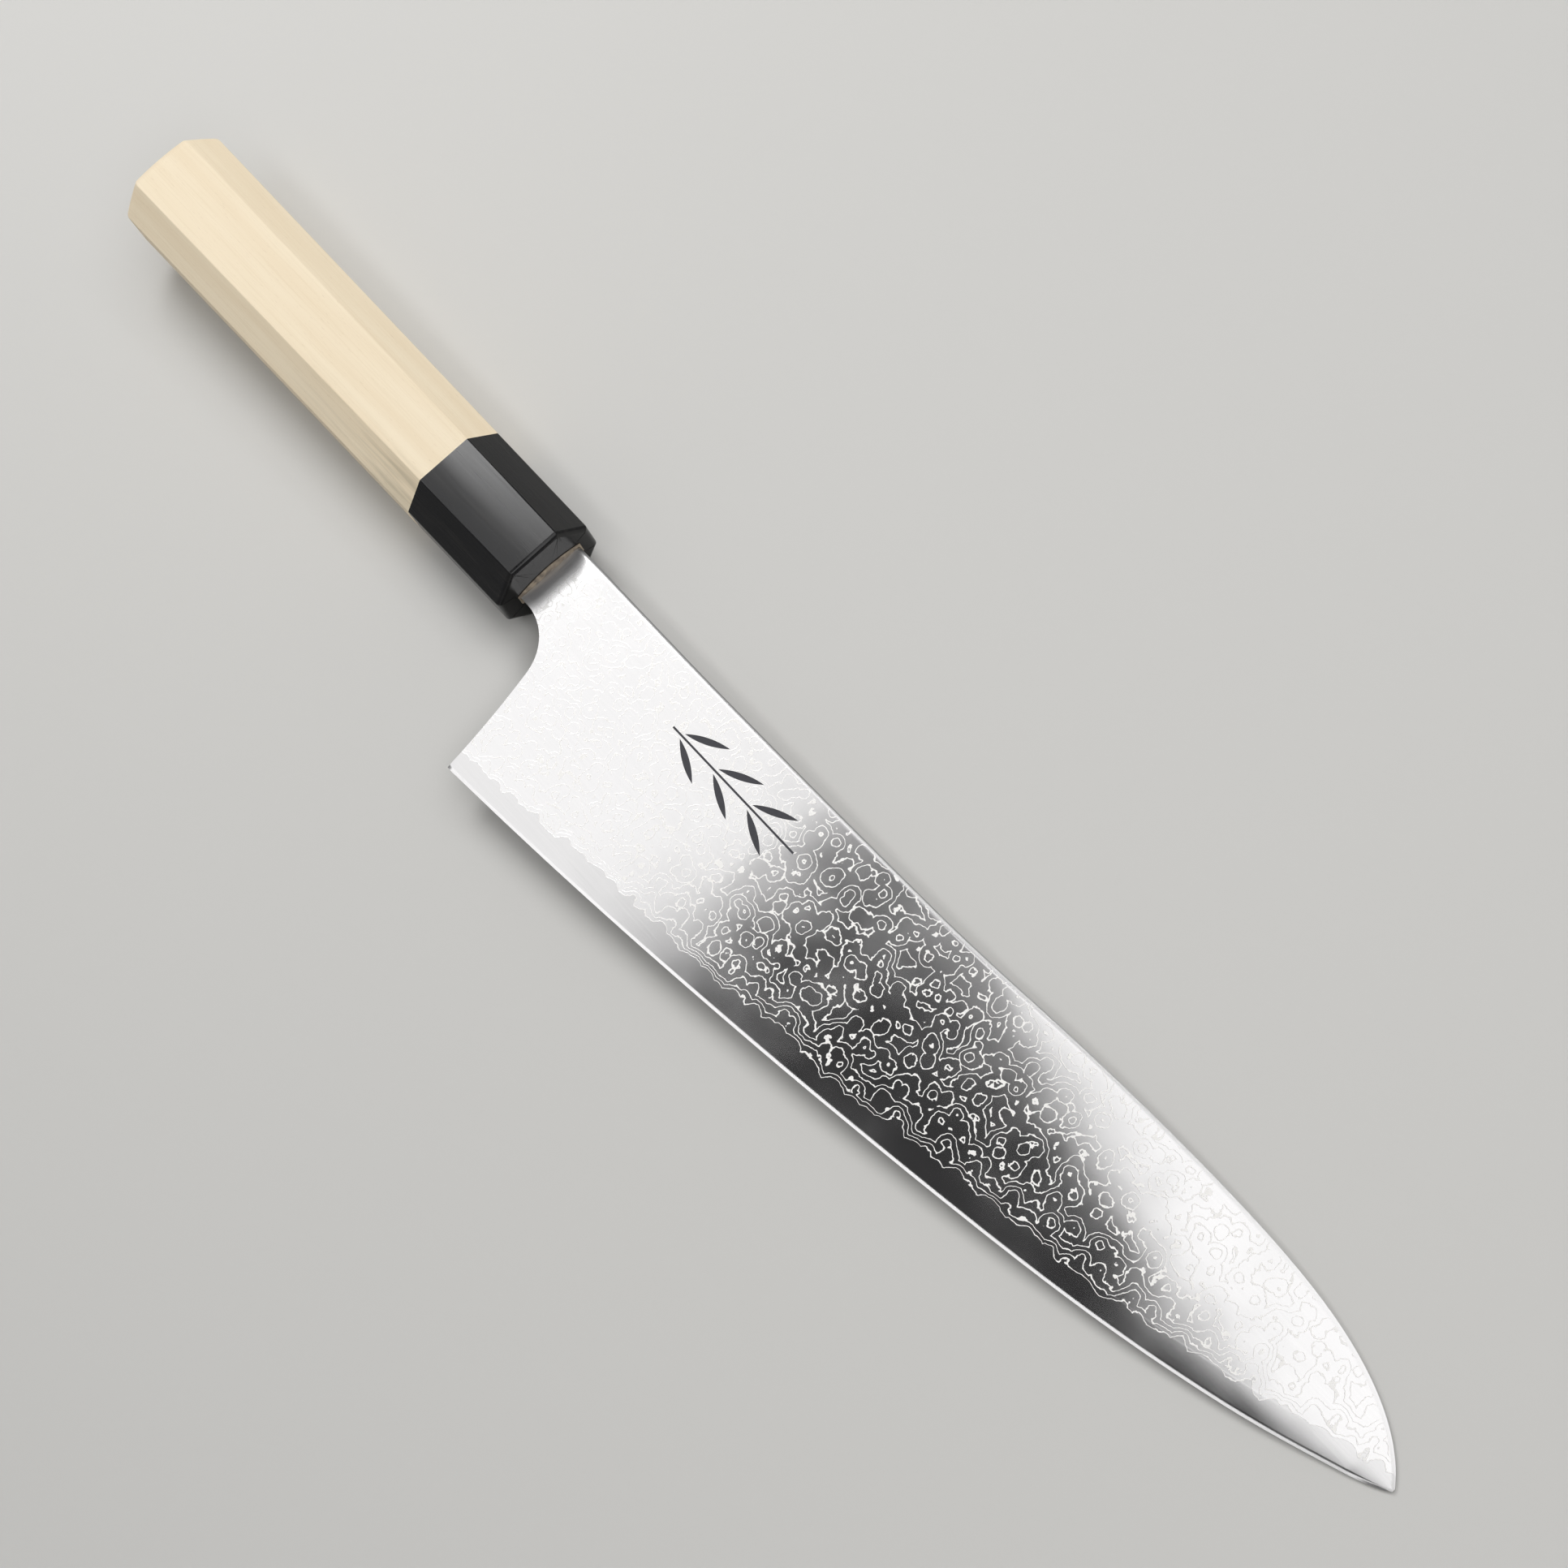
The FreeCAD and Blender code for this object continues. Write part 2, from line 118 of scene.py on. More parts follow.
def millimetres(tree: Tree, scale: Place = (1.0, 1.0, 1.0)) -> Node:
    """Object coordinates in millimetres, stretched by a factor along each axis.

    Args:
        tree: tree that gets the nodes.
        scale: factor along X, Y and Z.

    Returns:
        The node with the vector.
    """
    place = add_node(tree, "TexCoord").outputs["Object"]
    return add_node(tree, "Mapping", {"Scale": tuple(factor / MM for factor in scale)}, {"Vector": place})


def along_grain(tree: Tree, size: Point) -> Node:
    """Object coordinates that draw a pattern out along the knife.

    Args:
        tree: tree that gets the nodes.
        size: length and width that become one unit.

    Returns:
        The node with the vector.
    """
    length, width = size
    return millimetres(tree, (1 / length, 1 / width, 1 / width))


# ---------------------------------------------------------------- finishes

@dataclass(frozen=True)
class Finish:
    """A procedural material; each kind of surface says which nodes it is made of."""

    name: str

    def shader(self, tree: Tree) -> Node:
        """Add the finish's nodes.

        Args:
            tree: the material's tree.

        Returns:
            The shader.
        """
        raise NotImplementedError(self.name)

    def build(self) -> Material:
        """Make the material.

        Returns:
            The material.
        """
        material = bpy.data.materials.new(self.name)
        material.use_nodes = True
        tree = material.node_tree
        tree.nodes.clear()
        add_node(tree, "OutputMaterial", links={"Surface": self.shader(tree)})
        return material


@dataclass(frozen=True)
class LayeredSteel(Finish):
    """Layered stainless cladding over a hard core, polished to a mirror and then etched.

    Gives the eye a dark mirror crossed by fine pale contour lines: the soft layers between the hard ones
    are etched matt, and the hammering has bent them into rings. Along the edge the bare core is left
    plain, with lengthwise polishing scratches and a bright stoned bevel.
    """

    name: str = "layered_steel_mirror_etched"
    mirror: str = "#d5d4d4"
    etched: str = "#f4f2ef"
    core: str = "#cbcaca"
    scratched: str = "#b2b2b2"
    dent_spacing: float = 3.5  # between hammered dents
    dent_tip: float = 0.34  # radius of the flat bottom of a dent
    dent_middle: float = 0.45  # share of the spacing at which a dent leaves the layers where they are
    ring_pitch: float = 1.16  # between two layers on a dent's flank
    sway_length: float = 9.0  # long swell of the layers
    sway_levels: float = 2.4
    ragged_length: float = 1.7  # small waviness of a line
    ragged_reach: float = 1.35
    line_share: float = 0.075  # half a line's share of one layer
    line_soft: float = 0.025  # half the width of a line's soft rim, as a share of one layer
    line_change: float = 5.0  # length over which the lines grow wider and narrower
    line_metal: float = 0.05
    scratch_tint: float = 0.12
    scratch_roughness: float = 0.025
    cloud_length: float = 18.0
    mirror_roughness: float = 0.11
    etched_roughness: float = 0.55
    satin_roughness: float = 0.3  # beside the ferrule and on the eased spine
    stoned_roughness: float = 0.26
    bevel: Point = (0.55, 0.75)  # the stoned bevel's full height, and where it has faded out
    swell_length: float = 11.0
    swell_height: float = 0.012
    line_height: float = 0.004

    def layer_level(self, tree: Tree) -> Node:
        """Layer number at each point: whole steps lie between two etched lines.

        Args:
            tree: the material's tree.

        Returns:
            Node with the level, below zero on the bare core.
        """
        node = partial(add_node, tree)
        place = millimetres(tree, (1.0, 1.0, 4.0))
        ragged = node("TexNoise", {"Scale": 1 / self.ragged_length, "Detail": 2.0, "Roughness": 0.55},
                      {"Vector": place})
        centred = node("VectorMath", {"operation": "SUBTRACT", 1: (0.5, 0.5, 0.5)},
                       {0: ragged.outputs["Color"]})
        reach = node("VectorMath", {"operation": "SCALE", "Scale": self.ragged_reach}, {0: centred})
        bent = node("VectorMath", {"operation": "ADD"}, {0: place, 1: reach})
        dents = node("TexVoronoi", {"feature": "SMOOTH_F1", "Scale": 1 / self.dent_spacing,
                                    "Smoothness": 0.18}, {"Vector": bent})
        tip = self.dent_tip / self.dent_spacing
        squared = node("Math", {"operation": "MULTIPLY_ADD", 2: tip * tip}, {0: dents, 1: dents})
        flank = node("Math", {"operation": "SQRT"}, {0: squared})
        layers = self.dent_spacing / self.ring_pitch
        rings = node("Math", {"operation": "MULTIPLY_ADD", 1: layers, 2: -self.dent_middle * layers},
                     {0: flank})
        sway = node("TexNoise", {"Scale": 1 / self.sway_length, "Detail": 1.0, "Roughness": 0.4},
                    {"Vector": place})
        swell = node("Math", {"operation": "MULTIPLY_ADD", 1: 2 * self.sway_levels,
                              2: -self.sway_levels}, {0: sway})
        bends = node("Math", {"operation": "ADD"}, {0: rings, 1: swell})
        ground = node("Attribute", {"attribute_name": "layer_level"})
        return node("Math", {"operation": "ADD"}, {0: ground.outputs["Fac"], 1: bends})

    def etched_lines(self, tree: Tree, level: Node) -> Node:
        """Mask that is 1 on an etched line and 0 between the lines and on the core.

        Args:
            tree: the material's tree.
            level: layer number at each point.

        Returns:
            Node with the mask.
        """
        node = partial(add_node, tree)
        part = node("Math", {"operation": "FLOORED_MODULO", 1: 1.0}, {0: level})
        centred = node("Math", {"operation": "SUBTRACT", 1: 0.5}, {0: part})
        away = node("Math", {"operation": "ABSOLUTE"}, {0: centred})
        width = node("TexNoise", {"Scale": 1 / self.line_change, "Detail": 1.0},
                     {"Vector": millimetres(tree)})
        reach = node("Math", {"operation": "MULTIPLY_ADD", 1: self.line_share, 2: self.line_share / 2},
                     {0: width})
        gap = node("Math", {"operation": "SUBTRACT"}, {0: away, 1: reach})
        line = node("MapRange", {"interpolation_type": "SMOOTHSTEP", "From Min": self.line_soft,
                                 "From Max": -self.line_soft}, {"Value": gap})
        clad = node("Math", {"operation": "GREATER_THAN", 1: 0.0}, {0: level})
        etched = node("Attribute", {"attribute_name": "etched"})
        reached = node("Math", {"operation": "MULTIPLY"}, {0: clad, 1: etched.outputs["Fac"]})
        return node("Math", {"operation": "MULTIPLY"}, {0: line, 1: reached})

    def shader(self, tree: Tree) -> Node:
        """Add the nodes that the core and both claddings share, so that the pattern runs on.

        Args:
            tree: the material's tree.

        Returns:
            The shader.
        """
        node = partial(add_node, tree)
        level = self.layer_level(tree)
        line = self.etched_lines(tree, level)
        bare = node("Math", {"operation": "LESS_THAN", 1: 0.5}, {0: level})
        # polishing scratches run along the edge, half a millimetre apart and tens of millimetres long,
        # which is coarser than the real ones so that they show
        scratch = node("TexNoise", {"Scale": 1.0, "Detail": 2.0},
                       {"Vector": millimetres(tree, (0.05, 2.2, 1.0))})
        cloud = node("TexNoise", {"Scale": 1 / self.cloud_length, "Detail": 2.0},
                     {"Vector": millimetres(tree)})
        plain = node("Mix", {"data_type": "RGBA", 6: linear(self.mirror), 7: linear(self.core)},
                     {0: bare})
        worn = node("Math", {"operation": "MULTIPLY", 1: self.scratch_tint}, {0: scratch})
        streaked = node("Mix", {"data_type": "RGBA", "blend_type": "MULTIPLY", 7: linear(self.scratched)},
                        {0: worn, 6: plain.outputs[2]})
        colour = node("Mix", {"data_type": "RGBA", 7: linear(self.etched)},
                      {0: line, 6: streaked.outputs[2]})
        metal = node("MapRange", {"To Min": 1.0, "To Max": self.line_metal}, {"Value": line})
        haze = node("MapRange", {"From Min": 0.3, "From Max": 0.7, "To Min": self.mirror_roughness - 0.03,
                                 "To Max": self.mirror_roughness + 0.04}, {"Value": cloud})
        brushed = node("Math", {"operation": "MULTIPLY", 1: self.scratch_roughness}, {0: scratch})
        brushed_core = node("Math", {"operation": "MULTIPLY"}, {0: brushed, 1: bare})
        polish = node("Math", {"operation": "ADD"}, {0: haze, 1: brushed_core})
        height = node("Attribute", {"attribute_name": "edge_height"})
        bevel = node("MapRange", {"From Min": self.bevel[1], "From Max": self.bevel[0]},
                     {"Value": height.outputs["Fac"]})
        stoned = node("Mix", {"data_type": "FLOAT", 3: self.stoned_roughness}, {0: bevel, 2: polish})
        etched = node("Attribute", {"attribute_name": "etched"})
        satin = node("Mix", {"data_type": "FLOAT", 2: self.satin_roughness},
                     {0: etched.outputs["Fac"], 3: stoned})
        rough = node("Mix", {"data_type": "FLOAT", 3: self.etched_roughness}, {0: line, 2: satin})
        swell = node("TexNoise", {"Scale": 1 / self.swell_length, "Detail": 1.0},
                     {"Vector": millimetres(tree)})
        relief = node("Math", {"operation": "MULTIPLY", 1: self.swell_height}, {0: swell})
        ridge = node("Math", {"operation": "MULTIPLY_ADD", 1: self.line_height}, {0: line, 2: relief})
        bump = node("Bump", {"Strength": 1.0, "Distance": MM}, {"Height": ridge})
        return node("BsdfPrincipled", links={"Base Color": colour.outputs[2], "Metallic": metal,
                                             "Roughness": rough, "Normal": bump})


@dataclass(frozen=True)
class DarkGroove(Finish):
    """Steel blackened in the bottom of an engraving: a matt, almost black line on the bright cheek."""

    name: str = "engraved_groove_blackened"
    dark: str = "#26262a"
    light: str = "#4a4a50"
    grain: float = 0.4

    def shader(self, tree: Tree) -> Node:
        """Add the blackened steel's nodes.

        Args:
            tree: the material's tree.

        Returns:
            The shader.
        """
        node = partial(add_node, tree)
        grain = node("TexNoise", {"Scale": 1 / self.grain, "Detail": 3.0}, {"Vector": millimetres(tree)})
        colour = node("Mix", {"data_type": "RGBA", 6: linear(self.dark), 7: linear(self.light)},
                      {0: grain})
        rough = node("MapRange", {"To Min": 0.45, "To Max": 0.7}, {"Value": grain})
        return node("BsdfPrincipled", {"Metallic": 0.4},
                    {"Base Color": colour.outputs[2], "Roughness": rough})


@dataclass(frozen=True)
class MagnoliaWood(Finish):
    """Bare sanded magnolia: pale cream with a straight, faint grain along the handle.

    Gives the eye a soft matt surface with hair-thin darker fibres, a slow change of tone from band to
    band, and a few grey-green mineral streaks beside the ferrule. Each grain is its length and its width.
    """

    name: str = "magnolia_wood_sanded"
    pale: str = "#efe0c5"
    warm: str = "#ead9bc"
    fibre: str = "#d3bd98"
    pore: str = "#a98c63"
    mineral: str = "#a39a84"
    bands: Point = (90.0, 4.0)
    fibres: Point = (28.0, 0.35)
    pores: Point = (2.2, 0.16)
    streaks: Point = (26.0, 1.3)
    stain_reach: Point = (48.0, 8.0)  # behind the ferrule: where the streaks begin and are full
    stain_drop: Point = (4.0, 8.5)  # below the handle's middle, the same

    def shader(self, tree: Tree) -> Node:
        """Add the wood's nodes.

        Args:
            tree: the material's tree.

        Returns:
            The shader.
        """
        node = partial(add_node, tree)
        bands = node("TexNoise", {"Scale": 1.0, "Detail": 2.0},
                     {"Vector": along_grain(tree, self.bands)})
        tone = node("MapRange", {"From Min": 0.35, "From Max": 0.65}, {"Value": bands})
        board = node("Mix", {"data_type": "RGBA", 6: linear(self.pale), 7: linear(self.warm)}, {0: tone})
        fibres = node("TexNoise", {"Scale": 1.0, "Detail": 4.0, "Roughness": 0.65},
                      {"Vector": along_grain(tree, self.fibres)})
        thread = node("MapRange", {"From Min": 0.5, "From Max": 0.8, "To Max": 0.3}, {"Value": fibres})
        grained = node("Mix", {"data_type": "RGBA", 7: linear(self.fibre)},
                       {0: thread, 6: board.outputs[2]})
        # open pores show as short dashes
        pores = node("TexNoise", {"Scale": 1.0, "Detail": 1.0},
                     {"Vector": along_grain(tree, self.pores)})
        pore = node("MapRange", {"From Min": 0.68, "From Max": 0.78, "To Max": 0.22}, {"Value": pores})
        pored = node("Mix", {"data_type": "RGBA", 7: linear(self.pore)}, {0: pore, 6: grained.outputs[2]})
        streaks = node("TexNoise", {"Scale": 1.0, "Detail": 3.0},
                       {"Vector": along_grain(tree, self.streaks)})
        streak = node("MapRange", {"From Min": 0.45, "From Max": 0.7, "To Max": 0.45},
                      {"Value": streaks})
        parts = node("SeparateXYZ", links={0: millimetres(tree)})
        low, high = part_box("horn_ferrule")
        joint, middle = low.x / MM, (low.y + high.y) / 2 / MM
        near = node("MapRange", {"From Min": joint - self.stain_reach[0],
                                 "From Max": joint - self.stain_reach[1]}, {"Value": parts})
        under = node("MapRange", {"From Min": middle - self.stain_drop[0],
                                  "From Max": middle - self.stain_drop[1]}, {"Value": parts.outputs[1]})
        patch = node("Math", {"operation": "MULTIPLY"}, {0: near, 1: under})
        stain = node("Math", {"operation": "MULTIPLY"}, {0: patch, 1: streak})
        colour = node("Mix", {"data_type": "RGBA", 7: linear(self.mineral)},
                      {0: stain, 6: pored.outputs[2]})
        rough = node("MapRange", {"To Min": 0.5, "To Max": 0.68}, {"Value": fibres})
        bump = node("Bump", {"Strength": 0.6, "Distance": 0.03 * MM}, {"Height": fibres})
        return node("BsdfPrincipled", {"Specular IOR Level": 0.35},
                    {"Base Color": colour.outputs[2], "Roughness": rough, "Normal": bump})


@dataclass(frozen=True)
class BlackHorn(Finish):
    """Buffalo horn, sanded lengthwise and buffed: near-black with a soft gloss.

    Gives the eye black facets with fine lengthwise brush marks and here and there a greyer fibre. The
    buffing's slight rounding of the broad facet is a bump in the shading; the facet itself is flat.
    """

    name: str = "black_buffalo_horn_buffed"
    black: str = "#08080a"
    fibre: str = "#1b1918"
    brush: Point = (16.0, 0.25)  # length and spacing of the brush marks
    brush_depth: float = 0.0015
    vein: Point = (22.0, 1.8)
    crown: float = 0.011  # fall per square millimetre off the facet's middle
    facet_half: float = 6.4

    def shader(self, tree: Tree) -> Node:
        """Add the horn's nodes.

        Args:
            tree: the material's tree.

        Returns:
            The shader.
        """
        node = partial(add_node, tree)
        brush = node("TexNoise", {"Scale": 1.0, "Detail": 3.0},
                     {"Vector": along_grain(tree, self.brush)})
        veins = node("TexNoise", {"Scale": 1.0, "Detail": 2.0}, {"Vector": along_grain(tree, self.vein)})
        vein = node("MapRange", {"From Min": 0.5, "From Max": 0.8}, {"Value": veins})
        colour = node("Mix", {"data_type": "RGBA", 6: linear(self.black), 7: linear(self.fibre)},
                      {0: vein})
        rough = node("MapRange", {"From Min": 0.3, "From Max": 0.7, "To Min": 0.16, "To Max": 0.28},
                     {"Value": brush})
        low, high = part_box("horn_ferrule")
        parts = node("SeparateXYZ", links={0: millimetres(tree)})
        off = node("Math", {"operation": "SUBTRACT", 1: (low.y + high.y) / 2 / MM},
                   {0: parts.outputs[1]})
        squared = node("Math", {"operation": "MULTIPLY"}, {0: off, 1: off})
        grooves = node("Math", {"operation": "MULTIPLY", 1: self.brush_depth}, {0: brush})
        rounded = node("Math", {"operation": "MINIMUM", 1: self.facet_half ** 2}, {0: squared})
        crown = node("Math", {"operation": "MULTIPLY_ADD", 1: -self.crown}, {0: rounded, 2: grooves})
        bump = node("Bump", {"Strength": 1.0, "Distance": MM}, {"Height": crown})
        return node("BsdfPrincipled", {"IOR": 1.46},
                    {"Base Color": colour.outputs[2], "Roughness": rough, "Normal": bump})


@dataclass(frozen=True)
class ResinFilm(Finish):
    """A cured resin or glue: slightly glossy, with cloudy tone and tiny bubbles."""

    deep: str
    pale: str
    roughness: float = 0.35
    cloud: float = 1.6
    bubble: float = 0.5

    def shader(self, tree: Tree) -> Node:
        """Add the resin's nodes.

        Args:
            tree: the material's tree.

        Returns:
            The shader.
        """
        node = partial(add_node, tree)
        place = millimetres(tree)
        cloud = node("TexNoise", {"Scale": 1 / self.cloud, "Detail": 3.0}, {"Vector": place})
        bubbles = node("TexVoronoi", {"Scale": 1 / self.bubble}, {"Vector": place})
        tone = node("MapRange", {"From Min": 0.35, "From Max": 0.65}, {"Value": cloud})
        colour = node("Mix", {"data_type": "RGBA", 6: linear(self.deep), 7: linear(self.pale)},
                      {0: tone})
        rough = node("MapRange", {"To Min": self.roughness - 0.08, "To Max": self.roughness + 0.12},
                     {"Value": cloud})
        bump = node("Bump", {"Strength": 0.4, "Distance": 0.02 * MM}, {"Height": bubbles})
        return node("BsdfPrincipled",
                    links={"Base Color": colour.outputs[2], "Roughness": rough, "Normal": bump})


@dataclass(frozen=True)
class StudioPaper(Finish):
    """Pale matt background paper: keeps the light even under the knife."""

    name: str = "studio_paper_matt"
    tone: str = "#cdccc9"
    tooth: float = 1.2

    def shader(self, tree: Tree) -> Node:
        """Add the paper's nodes.

        Args:
            tree: the material's tree.

        Returns:
            The shader.
        """
        node = partial(add_node, tree)
        tooth = node("TexNoise", {"Scale": 1 / self.tooth, "Detail": 3.0}, {"Vector": millimetres(tree)})
        bump = node("Bump", {"Strength": 0.15, "Distance": 0.1 * MM}, {"Height": tooth})
        paint = {"Base Color": linear(self.tone), "Roughness": 0.9, "Specular IOR Level": 0.2}
        return node("BsdfPrincipled", paint, {"Normal": bump})


# ---------------------------------------------------------------- mesh tools

class Cut(Enum):
    """How one solid changes another."""

    REMOVE = "DIFFERENCE"
    JOIN = "UNION"


class Hand(Enum):
    """A side of the blade, by the way that it faces along Z."""

    RIGHT = 1
    LEFT = -1


@dataclass(frozen=True)
class Datum:
    """Where the drawing axes start in the frame: the middle of the ferrule's front face."""

    start: Vector

    @classmethod
    def from_frame(cls) -> "Datum":
        """Read the datum off the ferrule's box."""
        low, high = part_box("horn_ferrule")
        return cls(Vector((high.x, (low.y + high.y) / 2, (low.z + high.z) / 2)))

    def to_frame(self) -> Matrix:
        """Matrix from drawing millimetres to the frame's metres."""
        return Matrix.Translation(self.start) @ Matrix.Scale(MM, 4)

    def to_drawing(self) -> Matrix:
        """Matrix from the frame's metres to drawing millimetres."""
        return self.to_frame().inverted()


def add_object(name: str, data: bpy.types.ID) -> Object:
    """Put a mesh, a light or a camera into the scene.

    Args:
        name: the object's name.
        data: what it shows.

    Returns:
        The object.
    """
    made = bpy.data.objects.new(name, data)
    bpy.context.scene.collection.objects.link(made)
    return made


def to_mesh(bm: Solid, name: str) -> bpy.types.Mesh:
    """Store a solid as a mesh.

    Args:
        bm: the solid, which is used up.
        name: the mesh's name.

    Returns:
        The mesh.
    """
    mesh = bpy.data.meshes.new(name)
    bm.to_mesh(mesh)
    bm.free()
    return mesh


def take_in(bm: Solid, other: Solid) -> None:
    """Add another solid's faces to a solid.

    Args:
        bm: the solid.
        other: the other one, which is used up.
    """
    mesh = to_mesh(other, "taken_in")
    bm.from_mesh(mesh)
    bpy.data.meshes.remove(mesh)


def block(low: Place, high: Place) -> Solid:
    """Box between two corners.

    Args:
        low: lowest corner.
        high: highest corner.

    Returns:
        The box.
    """
    size = Vector(high) - Vector(low)
    middle = (Vector(high) + Vector(low)) / 2
    bm = bmesh.new()
    bmesh.ops.create_cube(bm, size=1.0, matrix=Matrix.Translation(middle) @ Matrix.Diagonal((*size, 1.0)))
    return bm


def ease(bm: Solid, edges: Iterable[bmesh.types.BMEdge], width: float, steps: int) -> None:
    """Chamfer or round edges.

    Args:
        bm: the solid.
        edges: its edges to ease.
        width: width of the easing on either side.
        steps: 1 for a chamfer, more for a rounding.
    """
    bmesh.ops.bevel(bm, geom=list(edges), offset=width, offset_type="OFFSET", segments=steps,
                    profile=0.5, affect="EDGES", material=-1)


def round_bar(start: float, end: float, radius: float, lead: float = 0.0) -> Solid:
    """Round bar along X.

    Args:
        start: lower end.
        end: upper end.
        radius: the bar's radius.
        lead: chamfer of the upper end.

    Returns:
        The bar.
    """
    bm = bmesh.new()
    turn = Matrix.Translation(((start + end) / 2, 0, 0)) @ Matrix.Rotation(math.pi / 2, 4, "Y")
    bmesh.ops.create_cone(bm, cap_ends=True, segments=BAR_SIDES, radius1=radius, radius2=radius,
                          depth=end - start, matrix=turn)
    if lead:
        rim = [edge for edge in bm.edges if all(vert.co.x > end - LEVEL for vert in edge.verts)]
        ease(bm, rim, lead, 1)
    return bm


def combine(solid: Solid, tool: Solid, cut: Cut) -> Solid:
    """Join a tool to a solid or cut it away.

    Args:
        solid: the solid, which is used up.
        tool: the tool, which is used up.
        cut: what the tool does.

    Returns:
        The new solid.
    """
    pair = [add_object("combine", to_mesh(part, "combine")) for part in (solid, tool)]
    modifier = pair[0].modifiers.new("cut", "BOOLEAN")
    modifier.operation = cut.value
    modifier.solver = "EXACT"
    modifier.object = pair[1]
    bpy.context.view_layer.update()
    result = bmesh.new()
    result.from_object(pair[0], bpy.context.evaluated_depsgraph_get())
    for piece in pair:
        mesh = piece.data
        bpy.data.objects.remove(piece)
        bpy.data.meshes.remove(mesh)
    bmesh.ops.remove_doubles(result, verts=result.verts[:], dist=MERGE)
    return result


def end_face(bm: Solid, pick: Callable[..., bmesh.types.BMFace]) -> bmesh.types.BMFace:
    """Find a solid's end face along X.

    Args:
        bm: the solid.
        pick: max for the front face and min for the back one.

    Returns:
        The face.
    """
    return pick(bm.faces, key=lambda face: face.calc_center_median().x)


def open_pocket(bm: Solid, face: bmesh.types.BMFace, plug: Solid) -> None:
    """Sink a pocket into a flat face of a solid.

    Args:
        bm: the solid.
        face: the face, at right angles to X.
        plug: shape of the pocket, with one end in the face's plane; it is used up.
    """
    level = face.calc_center_median().x
    bmesh.ops.delete(bm, geom=[face], context="FACES_ONLY")
    lid = [end for end in plug.faces if abs(end.normal.x) > 0.99
           and abs(end.calc_center_median().x - level) < LEVEL]
    bmesh.ops.delete(plug, geom=lid, context="FACES_ONLY")
    inner = [edge for edge in plug.edges if not edge.link_faces]
    bmesh.ops.delete(plug, geom=inner, context="EDGES")
    bmesh.ops.reverse_faces(plug, faces=plug.faces[:])
    take_in(bm, plug)
    bmesh.ops.bridge_loops(bm, edges=[edge for edge in bm.edges if edge.is_boundary])


def sheet(columns: int, rows: int, place: Callable[[int, int], Place]) -> Solid:
    """Grid whose crossings are laid on a surface.

    Args:
        columns: crossings along the surface.
        rows: crossings across it.
        place: the point for a column and a row.

    Returns:
        The sheet.
    """
    bm = bmesh.new()
    bmesh.ops.create_grid(bm, x_segments=columns - 1, y_segments=rows - 1, size=1.0)
    for vert in bm.verts:
        column = round((vert.co.x + 1) / 2 * (columns - 1))
        row = round((vert.co.y + 1) / 2 * (rows - 1))
        vert.co = place(column, row)
    return bm


def thicken(bm: Solid, floor: Callable[[float, float], float]) -> None:
    """Extrude a sheet into a closed solid.

    Args:
        bm: the sheet.
        floor: level of the far face at a point along and up the knife.
    """
    moved = bmesh.ops.extrude_face_region(bm, geom=bm.faces[:])
    for vert in moved["geom"]:
        if isinstance(vert, bmesh.types.BMVert):
            vert.co.z = floor(vert.co.x, vert.co.y)
    bmesh.ops.remove_doubles(bm, verts=bm.verts[:], dist=MERGE)
    bmesh.ops.dissolve_degenerate(bm, dist=MERGE, edges=bm.edges[:])
    bmesh.ops.recalc_face_normals(bm, faces=bm.faces[:])


@dataclass(frozen=True)
class Stand:
    """What a piece is called, the CAD node that it stands for, and a slot name for its finish that nothing
    reads.
    """

    name: str
    node: str
    slot: str

    def piece(self, bm: Solid, datum: Datum, materials: list[Material], sharp: float = 30.0) -> Object:
        """Turn a finished solid into the piece, which rides on the knife.

        Args:
            bm: the solid in drawing millimetres, which is used up.
            datum: start of the drawing axes.
            materials: the piece's materials.
            sharp: angle in degrees from which an edge is crisp.

        Returns:
            The piece.
        """
        bmesh.ops.transform(bm, matrix=datum.to_frame(), verts=bm.verts[:])
        for face in bm.faces:
            face.smooth = True
        mesh = to_mesh(bm, self.name)
        mesh.set_sharp_from_angle(angle=math.radians(sharp))
        for material in materials:
            mesh.materials.append(material)
        piece = add_object(self.name, mesh)
        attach(piece, BODY)
        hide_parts(self.node)
        log.info("%s: %d faces", self.name, len(mesh.polygons))
        return piece


def keep_facets_flat(piece: Object) -> None:
    """Let the large facets set the normals, so that only the eased edges between them look round.

    Args:
        piece: the faceted piece.
    """
    modifier = piece.modifiers.new("flat_facets", "WEIGHTED_NORMAL")
    modifier.keep_sharp = True
    modifier.weight = 90


# ---------------------------------------------------------------- blade

